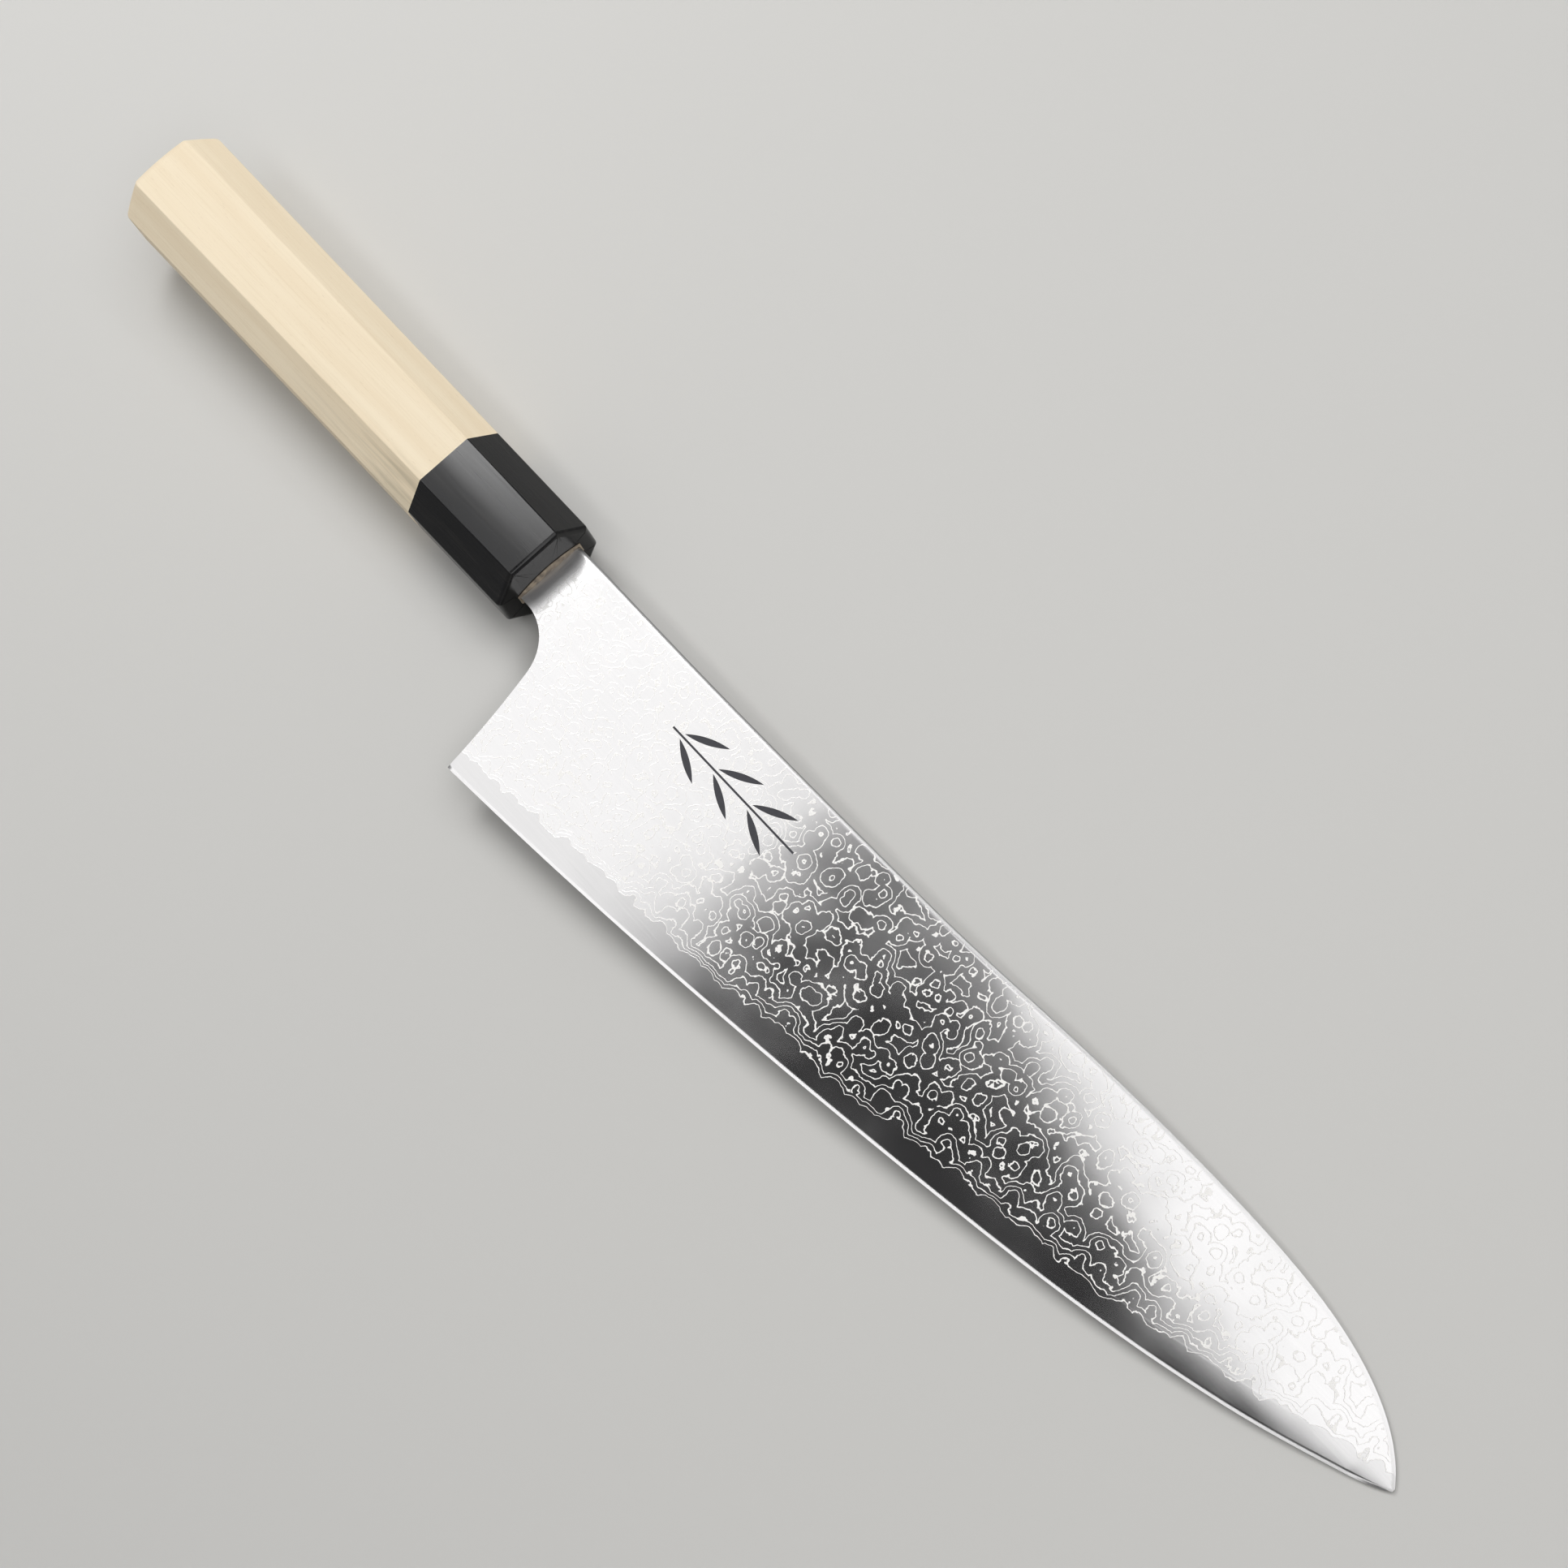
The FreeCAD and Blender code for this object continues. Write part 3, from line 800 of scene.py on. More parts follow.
@dataclass(frozen=True)
class Outline:
    """A smooth line read off a CAD node: a height or thickness for each place along the knife."""

    along: list[float]
    value: list[float]
    slope: list[float]

    @classmethod
    def read(cls, node: str, axis: int, highest: bool, datum: Datum, start: float) -> "Outline":
        """Read the highest or lowest line of a node.

        Args:
            node: the CAD node.
            axis: 1 for heights and 2 for thicknesses.
            highest: whether the line is the node's upper one.
            datum: start of the drawing axes.
            start: where the line starts along the knife.

        Returns:
            The line.
        """
        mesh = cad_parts[node].data
        points = np.array([datum.to_drawing() @ vert.co for vert in mesh.vertices], float)
        ends = np.array([edge.vertices for edge in mesh.edges])
        low, high = points[ends[:, 0]], points[ends[:, 1]]
        sign = 1 if highest else -1
        kept = {}
        for point in points[points[:, 0] > start - LEVEL]:
            across = (low[:, 0] - point[0]) * (high[:, 0] - point[0]) <= 0
            first, last = low[across], high[across]
            span = last[:, 0] - first[:, 0]
            part = (point[0] - first[:, 0]) / np.where(span == 0, 1, span)
            share = np.where(np.abs(span) > 1e-6, part, 0)
            reach = first[:, axis] + (last[:, axis] - first[:, axis]) * np.clip(share, 0, 1)
            if sign * point[axis] > (sign * reach).max() - OUTLINE_SLACK:
                kept[round(float(point[0]), 1)] = (float(point[0]), float(point[axis]))
        line = np.array([kept[key] for key in sorted(kept)])
        slope = np.gradient(line[:, 1], line[:, 0])
        return cls(line[:, 0].tolist(), line[:, 1].tolist(), slope.tolist())

    def at(self, along: float) -> float:
        """Value at a place, smooth between the points that were read.

        Args:
            along: place along the knife.

        Returns:
            The height or thickness there.
        """
        x, y, slope = self.along, self.value, self.slope
        along = min(max(along, x[0]), x[-1])
        index = min(bisect_right(x, along) - 1, len(x) - 2)
        span = x[index + 1] - x[index]
        t = (along - x[index]) / span
        return (
            y[index] * (2 * t ** 3 - 3 * t ** 2 + 1) + y[index + 1] * (3 * t ** 2 - 2 * t ** 3)
            + slope[index] * span * (t ** 3 - 2 * t ** 2 + t)
            + slope[index + 1] * span * (t ** 3 - t ** 2)
        )


def bowed(start: Point, end: Point, bow: float, count: int) -> list[Point]:
    """Points along an arc that bows to the right of its chord.

    Args:
        start: first point, which is left out.
        end: last point.
        bow: how far the arc leaves its chord.
        count: how many points.

    Returns:
        The points.
    """
    chord = Vector(end) - Vector(start)
    right = Vector((chord.y, -chord.x)).normalized()
    half = chord.length / 2
    radius = (half * half + bow * bow) / (2 * bow)
    centre = (Vector(start) + Vector(end)) / 2 + right * (bow - radius)
    sweep = math.asin(half / radius)
    points = []
    for index in range(1, count + 1):
        turn = sweep * (2 * index / count - 1)
        spoke = right * math.cos(turn) + chord.normalized() * math.sin(turn)
        points.append(tuple(centre + spoke * radius))
    return points


@dataclass
class Blade:
    """Core steel and two claddings, ground as one wedge, with a small sprig engraved on the right."""

    datum: Datum
    heel_reach: float = 18.6
    neck_overlap: float = 2.0
    neck_drop: float = 7.6
    neck_flat: float = 2.6
    choil_reach: float = 14.6
    choil_drop: float = 17.6
    choil_bow: float = 2.7
    choil_steps: int = 18
    heel_bow: float = 0.4
    heel_steps: int = 26
    edge_steps: int = 240
    edge_crowding: float = 0.12  # how much closer the steps are at the tip, as a share
    core_half: float = 0.30
    core_show: float = 5.5
    show_share: float = 0.5  # the bare core never takes more of the blade's depth than this
    core_zones: tuple[int, int, int] = (2, 12, 4)  # steps under the cladding, on the band, on the bevel
    cheek_bulge: float = 0.08
    cheek_steps: int = 52
    close_share: float = 0.3  # the close rows never take more of the cheek than this
    spine_half: float = 1.05
    spine_rows: tuple[float, ...] = (0.0, 0.12, 0.28, 0.5, 0.75, 1.0, 1.3)  # close rows below the spine
    band_bow: float = 0.35  # how much the ground band bulges, as a share of its fall
    bevel_width: float = 0.6
    bevel_share: float = 0.125  # the bevel never takes more of the blade's depth than this
    bevel_half: float = 0.12
    edge_half: float = 0.015
    spine_ease: float = 1.0  # width of the rounded spine corner
    spine_fall: float = 0.34
    tang_length: float = 88.0
    tang_root: float = 5.0
    tang_end: float = 3.0
    mouth_depth: float = 5.5
    tang_half: float = 1.1
    sprig_start: float = 47.0
    sprig_length: float = 39.0
    sprig_level: float = -3.0
    stem_half: float = 0.225
    stroke_steps: int = 24
    leaf_lead: float = 3.0
    leaf_pitch: float = 11.0
    leaf_pairs: int = 3
    leaf_offset: float = 0.7
    leaf_reach: float = 9.5
    leaf_rise: float = 4.5
    leaf_bow: float = 0.75
    groove_depth: float = 0.10
    layer_start: float = 0.4  # layers cut through at the core line
    flank_layers: float = 2.8  # layers that crowd together just above the core line
    flank_reach: float = 2.9  # height over which they thin out
    cheek_pitch: float = 10.0  # height per layer on the rest of the cheek
    etch_start: float = 3.5  # the pattern starts this far in front of the ferrule
    etch_fade: float = 5.0
    spine_bare: float = 0.7  # below the spine, left without a pattern
    spine_fade: float = 0.4

    def __post_init__(self) -> None:
        """Read the spine, the edge and the thickness, and lay out the grid's columns."""
        self.spine = Outline.read("core_steel", 1, True, self.datum, -self.neck_overlap)
        self.edge = Outline.read("core_steel", 1, False, self.datum, self.heel_reach)
        self.side = Outline.read("cladding_right", 2, True, self.datum, -self.neck_overlap)
        self.tip = self.spine.along[-1]
        self.columns = self.lower_outline()

    def lower_outline(self) -> list[Point]:
        """Points along the underside: neck, choil, heel and edge.

        Returns:
            The points, from the neck to the tip.
        """
        heel = (self.heel_reach, self.edge.at(self.heel_reach))
        choil = (self.choil_reach, -self.choil_drop)
        flat = (self.neck_flat, -self.neck_drop)
        points = [(along, -self.neck_drop) for along in (-self.neck_overlap, -0.5, 1.0)] + [flat]
        points += bowed(choil, flat, self.choil_bow, self.choil_steps)[-2::-1] + [choil]
        points += bowed(heel, choil, self.heel_bow, self.heel_steps)[-2::-1] + [heel]
        for index in range(1, self.edge_steps + 1):
            share = index / self.edge_steps
            crowded = share + self.edge_crowding * share * (1 - share)
            along = self.heel_reach + (self.tip - self.heel_reach) * crowded
            points.append((along, self.edge.at(along)))
        return points

    def edge_at(self, along: float) -> float:
        """Height of the edge, carried on level behind the heel."""
        return self.edge.at(max(along, self.heel_reach))

    def depth(self, along: float) -> float:
        """Height from the edge to the spine."""
        return self.spine.at(along) - self.edge_at(along)

    def core_line(self, along: float) -> float:
        """Height at which the cladding has been ground away."""
        return self.edge_at(along) + min(self.core_show, self.depth(along) * self.show_share)

    def cheek(self, along: float, level: float) -> float:
        """Half thickness of the ground blade above the core line, before its spine is eased.

        Args:
            along: place along the knife.
            level: height.

        Returns:
            The half thickness.
        """
        side, line = self.side.at(along), self.core_line(along)
        share = (level - line) / (self.spine.at(along) - line)
        taper = (side - self.core_half) / (self.spine_half - self.core_half)
        ground = self.core_half + (side - self.core_half) * share
        ground += 4 * self.cheek_bulge * taper * share * (1 - share)
        neck = max(0.0, (self.heel_reach - along) / (self.heel_reach + self.neck_overlap)) ** 2
        return ground + (self.tang_half - ground) * neck

    def skin(self, along: float, level: float) -> float:
        """Half thickness of the finished cladding, with the corner of the spine eased.

        Args:
            along: place along the knife.
            level: height.

        Returns:
            The half thickness.
        """
        below = self.spine.at(along) - level
        full = self.cheek(along, level)
        if below >= self.spine_ease:
            return full
        taper = min(1.0, (self.side.at(along) - self.core_half) / (self.spine_half - self.core_half))
        return full - self.spine_fall * taper * (1 - below / self.spine_ease) ** 2

    def core_skin(self, along: float, level: float) -> float:
        """Half thickness of the core: a slab, then the ground band, then the sharpened bevel.

        Args:
            along: place along the knife.
            level: height.

        Returns:
            The half thickness.
        """
        depth = self.depth(along)
        above = level - self.edge_at(along)
        show = min(self.core_show, depth * self.show_share)
        bevel = min(self.bevel_width, depth * self.bevel_share)
        if above >= show:
            return self.core_half
        # the band keeps one slope, so towards the tip it thins the core less as it narrows
        fall = (self.core_half - self.bevel_half) * (show - bevel) / (self.core_show - self.bevel_width)
        if above >= bevel:
            share = (show - above) / (show - bevel)
            return self.core_half - fall * share + self.band_bow * fall * share * (1 - share)
        return self.edge_half + (self.core_half - fall - self.edge_half) * max(above, 0.0) / bevel

    def layer_level(self, along: float, level: float) -> float:
        """Number of layers that the grinding has cut through since the core line.

        Args:
            along: place along the knife.
            level: height.

        Returns:
            The number, below zero on the bare core.
        """
        above = level - self.core_line(along)
        if above < 0:
            return above + self.layer_start
        flank = self.flank_layers * (1 - math.exp(-above / self.flank_reach))
        return flank + above / self.cheek_pitch + self.layer_start

    def etched(self, along: float, level: float) -> float:
        """Strength of the etching: none beside the ferrule and on the eased spine, full on the cheek.

        Args:
            along: place along the knife.
            level: height.

        Returns:
            Share from 0 to 1.
        """
        below = self.spine.at(along) - level
        from_neck = min(max((along - self.etch_start) / self.etch_fade, 0.0), 1.0)
        from_spine = min(max((below - self.spine_bare) / self.spine_fade, 0.0), 1.0)
        return from_neck * (1.0 if level < self.core_line(along) else from_spine)

    def mark_layers(self, piece: Object) -> None:
        """Store on each vertex how deep the grinding went there, for the layered finish.

        Args:
            piece: the core or a cladding.
        """
        mesh = piece.data
        places = [self.datum.to_drawing() @ vert.co for vert in mesh.vertices]
        rows = {
            "layer_level": [self.layer_level(place.x, place.y) for place in places],
            "edge_height": [place.y - self.edge_at(place.x) for place in places],
            "etched": [self.etched(place.x, place.y) for place in places],
        }
        for name, values in rows.items():
            mesh.attributes.new(name, "FLOAT", "POINT").data.foreach_set("value", values)

    def tang(self, low: float, high: float) -> Solid:
        """Neck inside the mouth and the tapered tang, between two thicknesses.

        Args:
            low: lower face.
            high: upper face.

        Returns:
            The tang.
        """
        bm = block((-self.tang_length, -1.0, low), (-self.mouth_depth, 1.0, high))
        for vert in bm.verts:
            vert.co.y *= self.tang_root if vert.co.x > -self.tang_length / 2 else self.tang_end
        neck = block((-self.mouth_depth - 0.2, -self.neck_drop, low),
                     (-self.neck_overlap, self.spine.at(-self.neck_overlap), high))
        return combine(bm, neck, Cut.JOIN)

    def cladding(self, hand: Hand, steel: Material, groove: Material) -> Object:
        """Cladding of one side.

        Args:
            hand: the side.
            steel: the layered steel.
            groove: the finish inside the engraving.

        Returns:
            The piece.
        """
        close = self.spine_rows

        def place(column: int, row: int) -> Place:
            """Point of the outer face.

            Args:
                column: step from the neck to the tip.
                row: step from the spine to the core line.

            Returns:
                The point.
            """
            along, low = self.columns[column]
            high = self.spine.at(along)
            low = max(low, self.core_line(along))
            start = min(close[-1], (high - low) * self.close_share)
            if row < len(close):
                level = high - start * close[row] / close[-1]
            else:
                share = (row - len(close) + 1) / self.cheek_steps
                level = high - start - (high - start - low) * share
            return along, level, max(self.skin(along, level), self.core_half)

        bm = sheet(len(self.columns), len(close) + self.cheek_steps, place)
        thicken(bm, lambda along, level: self.core_half)
        if hand is Hand.RIGHT:
            bm = combine(bm, self.sprig(), Cut.REMOVE)
        bm = combine(bm, self.tang(self.core_half, self.tang_half), Cut.JOIN)
        if hand is Hand.RIGHT:
            self.blacken_grooves(bm)
        else:
            bmesh.ops.scale(bm, vec=(1, 1, -1), verts=bm.verts[:])
            bmesh.ops.reverse_faces(bm, faces=bm.faces[:])
        node = f"cladding_{hand.name.lower()}"
        materials = [steel, groove] if hand is Hand.RIGHT else [steel]
        piece = Stand(f"{node}_layered", node, "layered_cladding").piece(bm, self.datum, materials)
        self.mark_layers(piece)
        return piece

    def blacken_grooves(self, bm: Solid) -> None:
        """Give the engraving's walls and floor the second material.

        Args:
            bm: the right cladding.
        """
        for face in bm.faces:
            middle = face.calc_center_median()
            inside = self.sprig_start - 1 < middle.x < self.sprig_start + self.sprig_length + 1
            depth = self.skin(middle.x, middle.y) - middle.z if inside else 0.0
            if 0.02 < depth < 2 * self.groove_depth and middle.z > self.core_half + 0.05:
                face.material_index = 1

    def core(self, steel: Material) -> Object:
        """Core steel, which carries the edge and runs back through the tang.

        Args:
            steel: the layered steel, whose pattern stops where the core is bare.

        Returns:
            The piece.
        """
        zones = self.core_zones

        def place(column: int, row: int) -> Place:
            """Point of the right face.

            Args:
                column: step from the neck to the tip.
                row: step from the spine to the edge.

            Returns:
                The point.
            """
            along, low = self.columns[column]
            bevel = self.edge_at(along) + min(self.bevel_width, self.depth(along) * self.bevel_share)
            stops = [self.spine.at(along), max(low, self.core_line(along)), max(low, bevel), low]
            step, zone = row, 0
            while zone < 2 and step > zones[zone]:
                step -= zones[zone]
                zone += 1
            level = stops[zone] + (stops[zone + 1] - stops[zone]) * step / zones[zone]
            return along, level, self.core_skin(along, level)

        bm = sheet(len(self.columns), sum(zones) + 1, place)
        thicken(bm, lambda along, level: -self.core_skin(along, level))
        bm = combine(bm, self.tang(-self.core_half, self.core_half), Cut.JOIN)
        piece = Stand("core_steel_edge", "core_steel", "core_steel").piece(bm, self.datum, [steel])
        self.mark_layers(piece)
        return piece

    def stroke(self, start: Point, end: Point, half: float, pointed: bool) -> Solid:
        """Tool for one stroke of the engraving.

        Args:
            start: first point on the sprig.
            end: last point.
            half: half its width.
            pointed: whether it narrows to a point at both ends, as a leaf does.

        Returns:
            The tool, whose floor lies one groove's depth below the cheek.
        """
        first, last = Vector(start), Vector(end)
        side = Vector((first.y - last.y, last.x - first.x)).normalized()

        def place(column: int, row: int) -> Place:
            """Point of the stroke's floor.

            Args:
                column: step along the stroke.
                row: step across it.

            Returns:
                The point.
            """
            share = column / self.stroke_steps
            width = half * (4 * share * (1 - share) if pointed else 1.0)
            spot = first.lerp(last, share) + side * width * (row - 1)
            along, level = self.sprig_start + spot.x, self.sprig_level + spot.y
            return along, level, self.skin(along, level) - self.groove_depth

        bm = sheet(self.stroke_steps + 1, 3, place)
        thicken(bm, lambda along, level: self.skin(along, level) + 1.0)
        return bm

    def sprig(self) -> Solid:
        """Tool for the engraving: a straight stem and pairs of slender leaves.

        Returns:
            The tool.
        """
        whole = bmesh.new()
        take_in(whole, self.stroke((0.0, 0.0), (self.sprig_length, 0.0), self.stem_half, False))
        for pair in range(self.leaf_pairs):
            start = self.leaf_lead + self.leaf_pitch * pair
            for way in (1, -1):
                end = (start + self.leaf_reach, way * (self.leaf_offset + self.leaf_rise))
                take_in(whole, self.stroke((start, way * self.leaf_offset), end, self.leaf_bow, True))
        return whole

    def build(self, steel: LayeredSteel, groove: DarkGroove) -> list[Object]:
        """Build the core and both claddings.

        Args:
            steel: finish of the blade.
            groove: finish inside the engraving.

        Returns:
            The three pieces.
        """
        metal, dark = steel.build(), groove.build()
        return [self.core(metal)] + [self.cladding(hand, metal, dark) for hand in Hand]


# ---------------------------------------------------------------- handle

@dataclass
class Handle:
    """Octagonal handle: a horn ferrule and a magnolia body with a domed butt."""

    datum: Datum
    front_half: Point = (12.5, 9.75)  # half height and half thickness at the ferrule's front
    corner: float = 6.1
    crown_radius: float = 62.0
    crown_rings: tuple[float, ...] = (0.64, 0.46, 0.28, 0.12)  # sizes of the dome's inner rings
    butt_easing: float = 2.2
    butt_steps: int = 7
    butt_cuts: int = 9  # points added along each side of the butt
    rim_easing: float = 1.1
    edge_wear: float = 0.22
    crisp: float = 50.0  # angle in degrees from which an edge is crisp
    tenon_radius: float = 7.3
    tenon_length: float = 22.0
    tenon_gap: float = 1.5
    glue_film: float = 0.15
    tenon_lead: float = 0.8
    mouth_depth: float = 5.5
    mouth_low: float = -8.1
    mouth_high: float = 9.2
    mouth_half: float = 1.4
    mouth_bulge: float = 1.3
    mouth_cuts: int = 31  # points added along each bowed side
    seal_proud: float = 0.4
    seal_easing: float = 0.3
    neck_half: float = 1.1
    neck_low: float = -7.6
    neck_high: float = 8.7

    def __post_init__(self) -> None:
        """Read the ends and the section at the joint off the CAD nodes."""
        ferrule = [self.datum.to_drawing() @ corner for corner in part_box("horn_ferrule")]
        self.joint = ferrule[0].x
        self.butt = (self.datum.to_drawing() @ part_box("handle_body")[0]).x
        # the dome's easing trims the widest section, so the taper is read at the joint and carried on
        self.joint_half = (ferrule[1].y, ferrule[1].z)

    def half_sizes(self, along: float) -> Point:
        """Half height and half thickness of the octagon at a place along it."""
        share = along / self.joint
        return tuple(start + (end - start) * share for start, end in zip(self.front_half, self.joint_half))

    def blank(self, near: float, far: float) -> Solid:
        """Tapered octagon with eased long edges.

        Args:
            near: front end.
            far: back end.

        Returns:
            The blank.
        """
        bm = block((far, -1.0, -1.0), (near, 1.0, 1.0))
        for vert in bm.verts:
            height, thickness = self.half_sizes(vert.co.x)
            vert.co.y *= height
            vert.co.z *= thickness
        for width, steps in ((self.corner, 1), (self.edge_wear, 2)):
            long = [edge for edge in bm.edges if abs(edge.verts[0].co.x - edge.verts[1].co.x) > 1.0]
            ease(bm, long, width, steps)
        return bm

    def mouth(self, start: float, end: float) -> Solid:
        """Oval plug: straight ends and two bowed sides.

        Args:
            start: back face.
            end: front face.

        Returns:
            The plug.
        """
        bm = block((start, self.mouth_low, -self.mouth_half), (end, self.mouth_high, self.mouth_half))
        tall = [edge for edge in bm.edges if abs(edge.verts[0].co.y - edge.verts[1].co.y) > 1.0]
        bmesh.ops.subdivide_edges(bm, edges=tall, cuts=self.mouth_cuts, use_grid_fill=True)
        middle = (self.mouth_low + self.mouth_high) / 2
        reach = self.mouth_high - middle
        for vert in bm.verts:
            share = (vert.co.y - middle) / reach
            vert.co.z += math.copysign(self.mouth_bulge * (1 - share * share), vert.co.z)
        return bm

    def domed_butt(self, bm: Solid) -> None:
        """Crown the butt and round its rim, with rings that close in on the middle.

        Args:
            bm: the blank, whose flat back face becomes the dome.
        """
        rim = [edge for edge in end_face(bm, min).edges if edge.calc_length() > 1.0]
        bmesh.ops.subdivide_edges(bm, edges=rim, cuts=self.butt_cuts)
        cap = end_face(bm, min)
        ring, verts = list(cap.edges), list(cap.verts)
        bmesh.ops.delete(bm, geom=[cap], context="FACES_ONLY")
        inradius = sum(self.half_sizes(self.butt)) / 2
        turns = [math.pi / 2 * step / self.butt_steps for step in range(self.butt_steps + 1)]
        rounds = [(1 - self.butt_easing * (1 - math.cos(turn)) / inradius,
                   self.butt_easing * (1 - math.sin(turn))) for turn in turns]
        size = 1.0
        for share, drop in rounds + [(ring_size, 0.0) for ring_size in self.crown_rings]:
            if share < 1.0:
                grown = bmesh.ops.extrude_edge_only(bm, edges=ring)["geom"]
                verts = [item for item in grown if isinstance(item, bmesh.types.BMVert)]
                new = set(verts)
                ring = [item for item in grown if isinstance(item, bmesh.types.BMEdge)
                        and new.issuperset(item.verts)]
                bmesh.ops.scale(bm, vec=(1, share / size, share / size), verts=verts)
                size = share
            for vert in verts:
                reach = math.hypot(vert.co.y, vert.co.z)
                crown = self.crown_radius - math.sqrt(self.crown_radius ** 2 - reach ** 2)
                vert.co.x = self.butt + crown + drop
        bmesh.ops.contextual_create(bm, geom=ring)

    def finished(self, stand: Stand, bm: Solid, finish: Finish) -> Object:
        """Turn a solid of the handle into its piece.

        Args:
            stand: what the piece is called and stands for.
            bm: the solid, which is used up.
            finish: the piece's finish.

        Returns:
            The piece.
        """
        bmesh.ops.recalc_face_normals(bm, faces=bm.faces[:])
        return stand.piece(bm, self.datum, [finish.build()], self.crisp)

    def body(self, wood: MagnoliaWood) -> Object:
        """Magnolia body with its tenon.

        Args:
            wood: finish of the body.

        Returns:
            The piece.
        """
        bm = self.blank(self.joint, self.butt)
        self.domed_butt(bm)
        tenon = round_bar(self.joint - 1.0, self.joint + self.tenon_length, self.tenon_radius,
                          self.tenon_lead)
        bm = combine(bm, tenon, Cut.JOIN)
        piece = self.finished(Stand("handle_magnolia", "handle_body", "magnolia_wood"), bm, wood)
        keep_facets_flat(piece)
        return piece

    def ferrule(self, horn: BlackHorn) -> Object:
        """Horn ferrule: eased front rim, oval mouth and the bore for the tenon.

        Args:
            horn: finish of the ferrule.

        Returns:
            The piece.
        """
        bm = self.blank(0.0, self.joint)
        ease(bm, end_face(bm, max).edges, self.rim_easing, 5)
        open_pocket(bm, end_face(bm, max), self.mouth(-self.mouth_depth, 0.0))
        bore = round_bar(self.joint, self.joint + self.tenon_length + self.tenon_gap,
                         self.tenon_radius + self.glue_film)
        open_pocket(bm, end_face(bm, min), bore)
        piece = self.finished(Stand("ferrule_horn", "horn_ferrule", "black_horn"), bm, horn)
        keep_facets_flat(piece)
        return piece

    def seal(self, resin: ResinFilm) -> Object:
        """Bead that closes the mouth around the neck.

        Args:
            resin: finish of the seal.

        Returns:
            The piece.
        """
        bm = self.mouth(-self.mouth_depth, self.seal_proud)
        front = self.seal_proud - LEVEL
        rim = [edge for edge in bm.edges if all(vert.co.x > front for vert in edge.verts)
               and len({face.normal.x > 0.9 for face in edge.link_faces}) == 2]
        ease(bm, rim, self.seal_easing, 3)
        neck = block((-2 * self.mouth_depth, self.neck_low, -self.neck_half),
                     (2 * self.seal_proud, self.neck_high, self.neck_half))
        bm = combine(bm, neck, Cut.REMOVE)
        return self.finished(Stand("neck_seal_bead", "neck_seal", "neck_seal"), bm, resin)

    def build(self, wood: MagnoliaWood, horn: BlackHorn, resin: ResinFilm) -> list[Object]:
        """Build the wooden body, the ferrule and the seal.

        Args:
            wood: finish of the body.
            horn: finish of the ferrule.
            resin: finish of the seal.

        Returns:
            The three pieces.
        """
        return [self.body(wood), self.ferrule(horn), self.seal(resin)]


@dataclass(frozen=True)
class HiddenFits:
    """The glue film and the tang's adhesive, which keep their CAD meshes."""

    finishes: tuple[tuple[str, ResinFilm], ...] = (
        ("ferrule_glue", ResinFilm("rice_glue_dried", "#c9b994", "#e0d4b5", 0.5)),
        ("tang_adhesive", ResinFilm("epoxy_cured", "#8d8674", "#b0a890", 0.3)),
    )

    def dress(self) -> None:
        """Give each hidden node its finish."""
        for node, finish in self.finishes:
            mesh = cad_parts[node].data
            mesh.materials.clear()
            mesh.materials.append(finish.build())
            log.info("%s: dressed", node)


# ---------------------------------------------------------------- studio

@dataclass(frozen=True)
class SoftBox:
    """Rectangular light over the knife, facing straight down."""

    name: str
    middle: Point  # over the knife, in drawing millimetres
    size: Point
    turn: float  # degrees about the vertical
    strength: float  # brightness of the box's face
    height: float = 700.0

    def hang(self, datum: Datum) -> None:
        """Hang the box over the knife.

        Args:
            datum: start of the drawing axes.
        """
        light = bpy.data.lights.new(self.name, "AREA")
        light.shape = "RECTANGLE"
        light.size, light.size_y = self.size[0] * MM, self.size[1] * MM
        light.energy = self.strength * math.pi * light.size * light.size_y
        box = add_object(self.name, light)
        box.location = datum.to_frame() @ Vector((*self.middle, self.height))
        box.rotation_euler = (0, 0, math.radians(self.turn))
        box.visible_camera = False


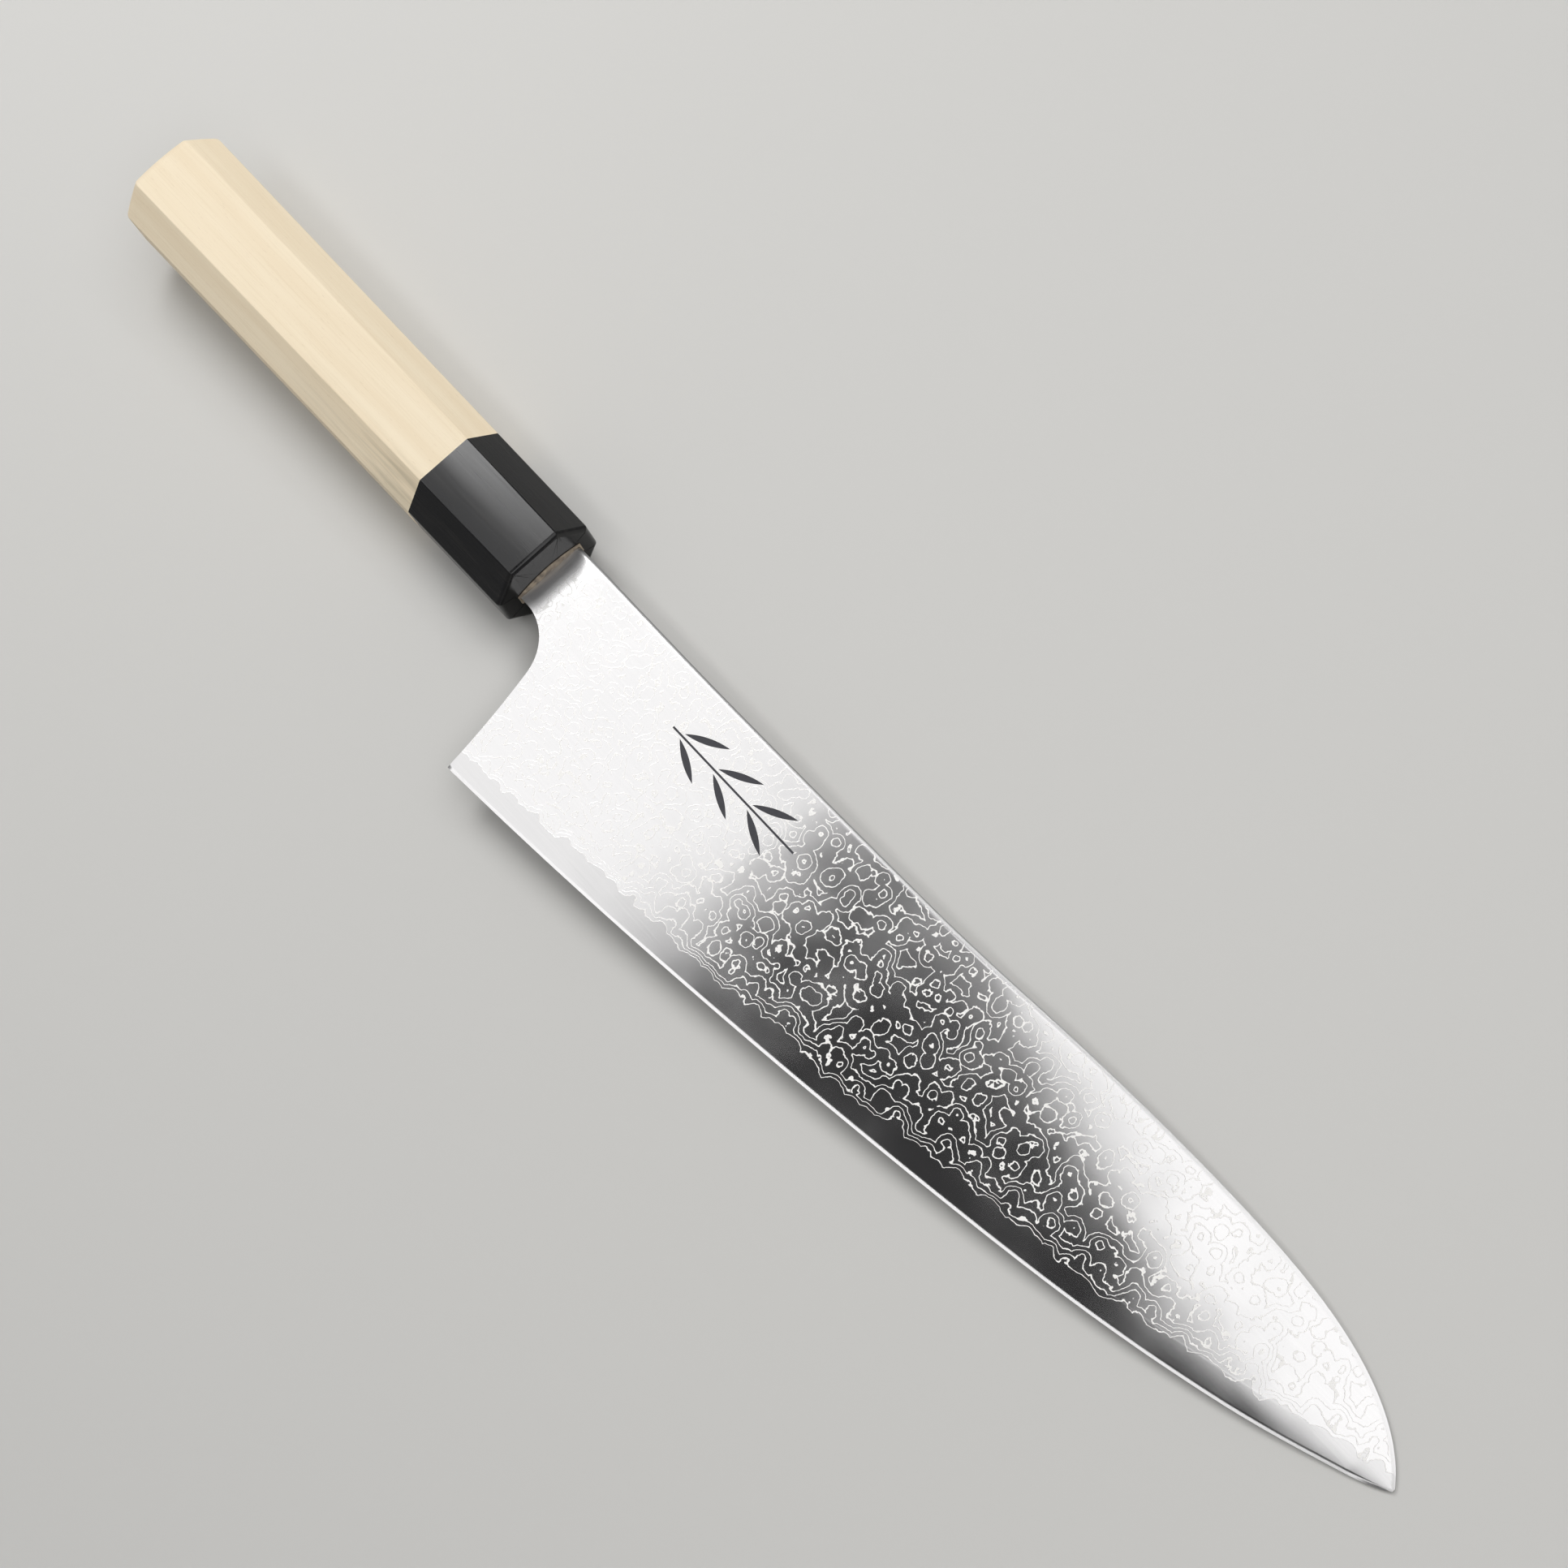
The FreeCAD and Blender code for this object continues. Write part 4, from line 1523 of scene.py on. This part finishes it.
@dataclass
class Studio:
    """Pale floor, soft boxes, sky glow and the camera."""

    datum: Datum
    azimuth: float = 80.6
    elevation: float = 63.95
    roll: float = -33.35
    distance: float = 0.6443
    lens: float = 73.86
    sensor: float = 36.0
    aim: Place = (72.85, 5.29, 0.0)
    rest_back: Point = (-0.5, -9.75)  # the ferrule's lower front edge touches the floor here
    rest_tip: Point = (254.8, -0.35)
    floor_size: float = 8.0
    floor_gap: float = 0.02
    sky_horizon: Place = (0.26, 0.26, 0.26)
    sky_high: Place = (0.28, 0.28, 0.28)
    sky_top: Place = (0.045, 0.045, 0.046)
    sky_stops: Place = (0.0, 0.6, 0.88)  # sine of the elevation at which each of the three is reached
    boxes: tuple[SoftBox, ...] = (
        SoftBox("box_over_handle", (-554.0, 150.0), (640.0, 680.0), 0.0, 1.38),
        SoftBox("box_over_ferrule", (-650.0, 250.0), (370.0, 400.0), 0.0, 8.0, 690.0),
        SoftBox("box_beyond_tip", (189.0, 245.0), (560.0, 560.0), -19.5, 1.5),
        SoftBox("fill_between_boxes", (-150.0, 205.0), (180.0, 340.0), -6.0, 0.25),
        SoftBox("strip_spine_side", (40.0, 600.0), (900.0, 110.0), 0.0, 3.0),
        SoftBox("strip_edge_side", (-125.0, -285.0), (760.0, 170.0), 0.0, 2.4),
        SoftBox("box_behind_camera", (640.0, -60.0), (420.0, 700.0), 0.0, 2.1),
    )

    def floor(self, paper: StudioPaper) -> None:
        """Lay the floor so that the knife lies on its ferrule and its tip.

        Args:
            paper: the floor's finish.
        """
        (back, back_level), (tip, tip_level) = self.rest_back, self.rest_tip
        slope = (tip_level - back_level) / (tip - back)
        bm = bmesh.new()
        bmesh.ops.create_grid(bm, x_segments=8, y_segments=8, size=self.floor_size / MM / 2)
        for vert in bm.verts:
            vert.co.z = back_level - self.floor_gap + slope * (vert.co.x - back)
        bmesh.ops.transform(bm, matrix=self.datum.to_frame(), verts=bm.verts[:])
        mesh = to_mesh(bm, "studio_floor")
        mesh.materials.append(paper.build())
        add_object("studio_floor", mesh)

    def sky(self) -> None:
        """Glow that is dim overhead and brighter towards the horizon."""
        world = bpy.data.worlds.new("studio_glow")
        world.use_nodes = True
        tree = world.node_tree
        tree.nodes.clear()
        way = add_node(tree, "TexCoord").outputs["Generated"]
        parts = add_node(tree, "SeparateXYZ", links={0: way})
        glow = add_node(tree, "ValToRGB", links={0: parts.outputs[2]})
        stops = glow.color_ramp.elements
        stops[0].position, stops[0].color = self.sky_stops[0], (*self.sky_horizon, 1.0)
        stops[1].position, stops[1].color = self.sky_stops[2], (*self.sky_top, 1.0)
        stops.new(self.sky_stops[1]).color = (*self.sky_high, 1.0)
        light = add_node(tree, "Background", {"Strength": 1.0}, {"Color": glow})
        add_node(tree, "OutputWorld", links={"Surface": light})
        bpy.context.scene.world = world

    def camera(self) -> None:
        """Place the camera above the tip, looking down along the knife."""
        turn, lift, roll = (math.radians(angle) for angle in (self.azimuth, self.elevation, self.roll))
        back = Vector((math.sin(turn) * math.cos(lift), -math.cos(turn) * math.cos(lift), math.sin(lift)))
        right = Vector((math.cos(turn), math.sin(turn), 0.0))
        up = back.cross(right)
        right, up = (right * math.cos(roll) + up * math.sin(roll),
                     up * math.cos(roll) - right * math.sin(roll))
        eye = self.datum.to_frame() @ Vector(self.aim) + back * self.distance
        lens = bpy.data.cameras.new("studio_camera")
        lens.lens = self.lens
        lens.sensor_width = self.sensor
        lens.clip_start = 0.01
        camera = add_object("studio_camera", lens)
        turned = Matrix((right, up, back)).transposed().to_4x4()
        camera.matrix_world = Matrix.Translation(eye) @ turned
        bpy.context.scene.camera = camera

    def build(self) -> None:
        """Set up the floor, the light and the camera."""
        bpy.context.scene.view_settings.view_transform = "Standard"
        self.floor(StudioPaper())
        self.sky()
        for box in self.boxes:
            box.hang(self.datum)
        self.camera()
        log.info("studio: %d soft boxes", len(self.boxes))


def main() -> None:
    """Build the knife and its studio."""
    logging.basicConfig(level=logging.INFO, format="%(name)s: %(message)s")
    datum = Datum.from_frame()
    pieces = Blade(datum).build(LayeredSteel(), DarkGroove())
    pieces += Handle(datum).build(MagnoliaWood(), BlackHorn(),
                                  ResinFilm("neck_seal_resin", "#6e6255", "#ab9c87"))
    HiddenFits().dress()
    Studio(datum).build()
    bpy.context.view_layer.update()
    for piece in pieces:
        log.info("built %s", piece.name)


if __name__ == "__main__":
    main()
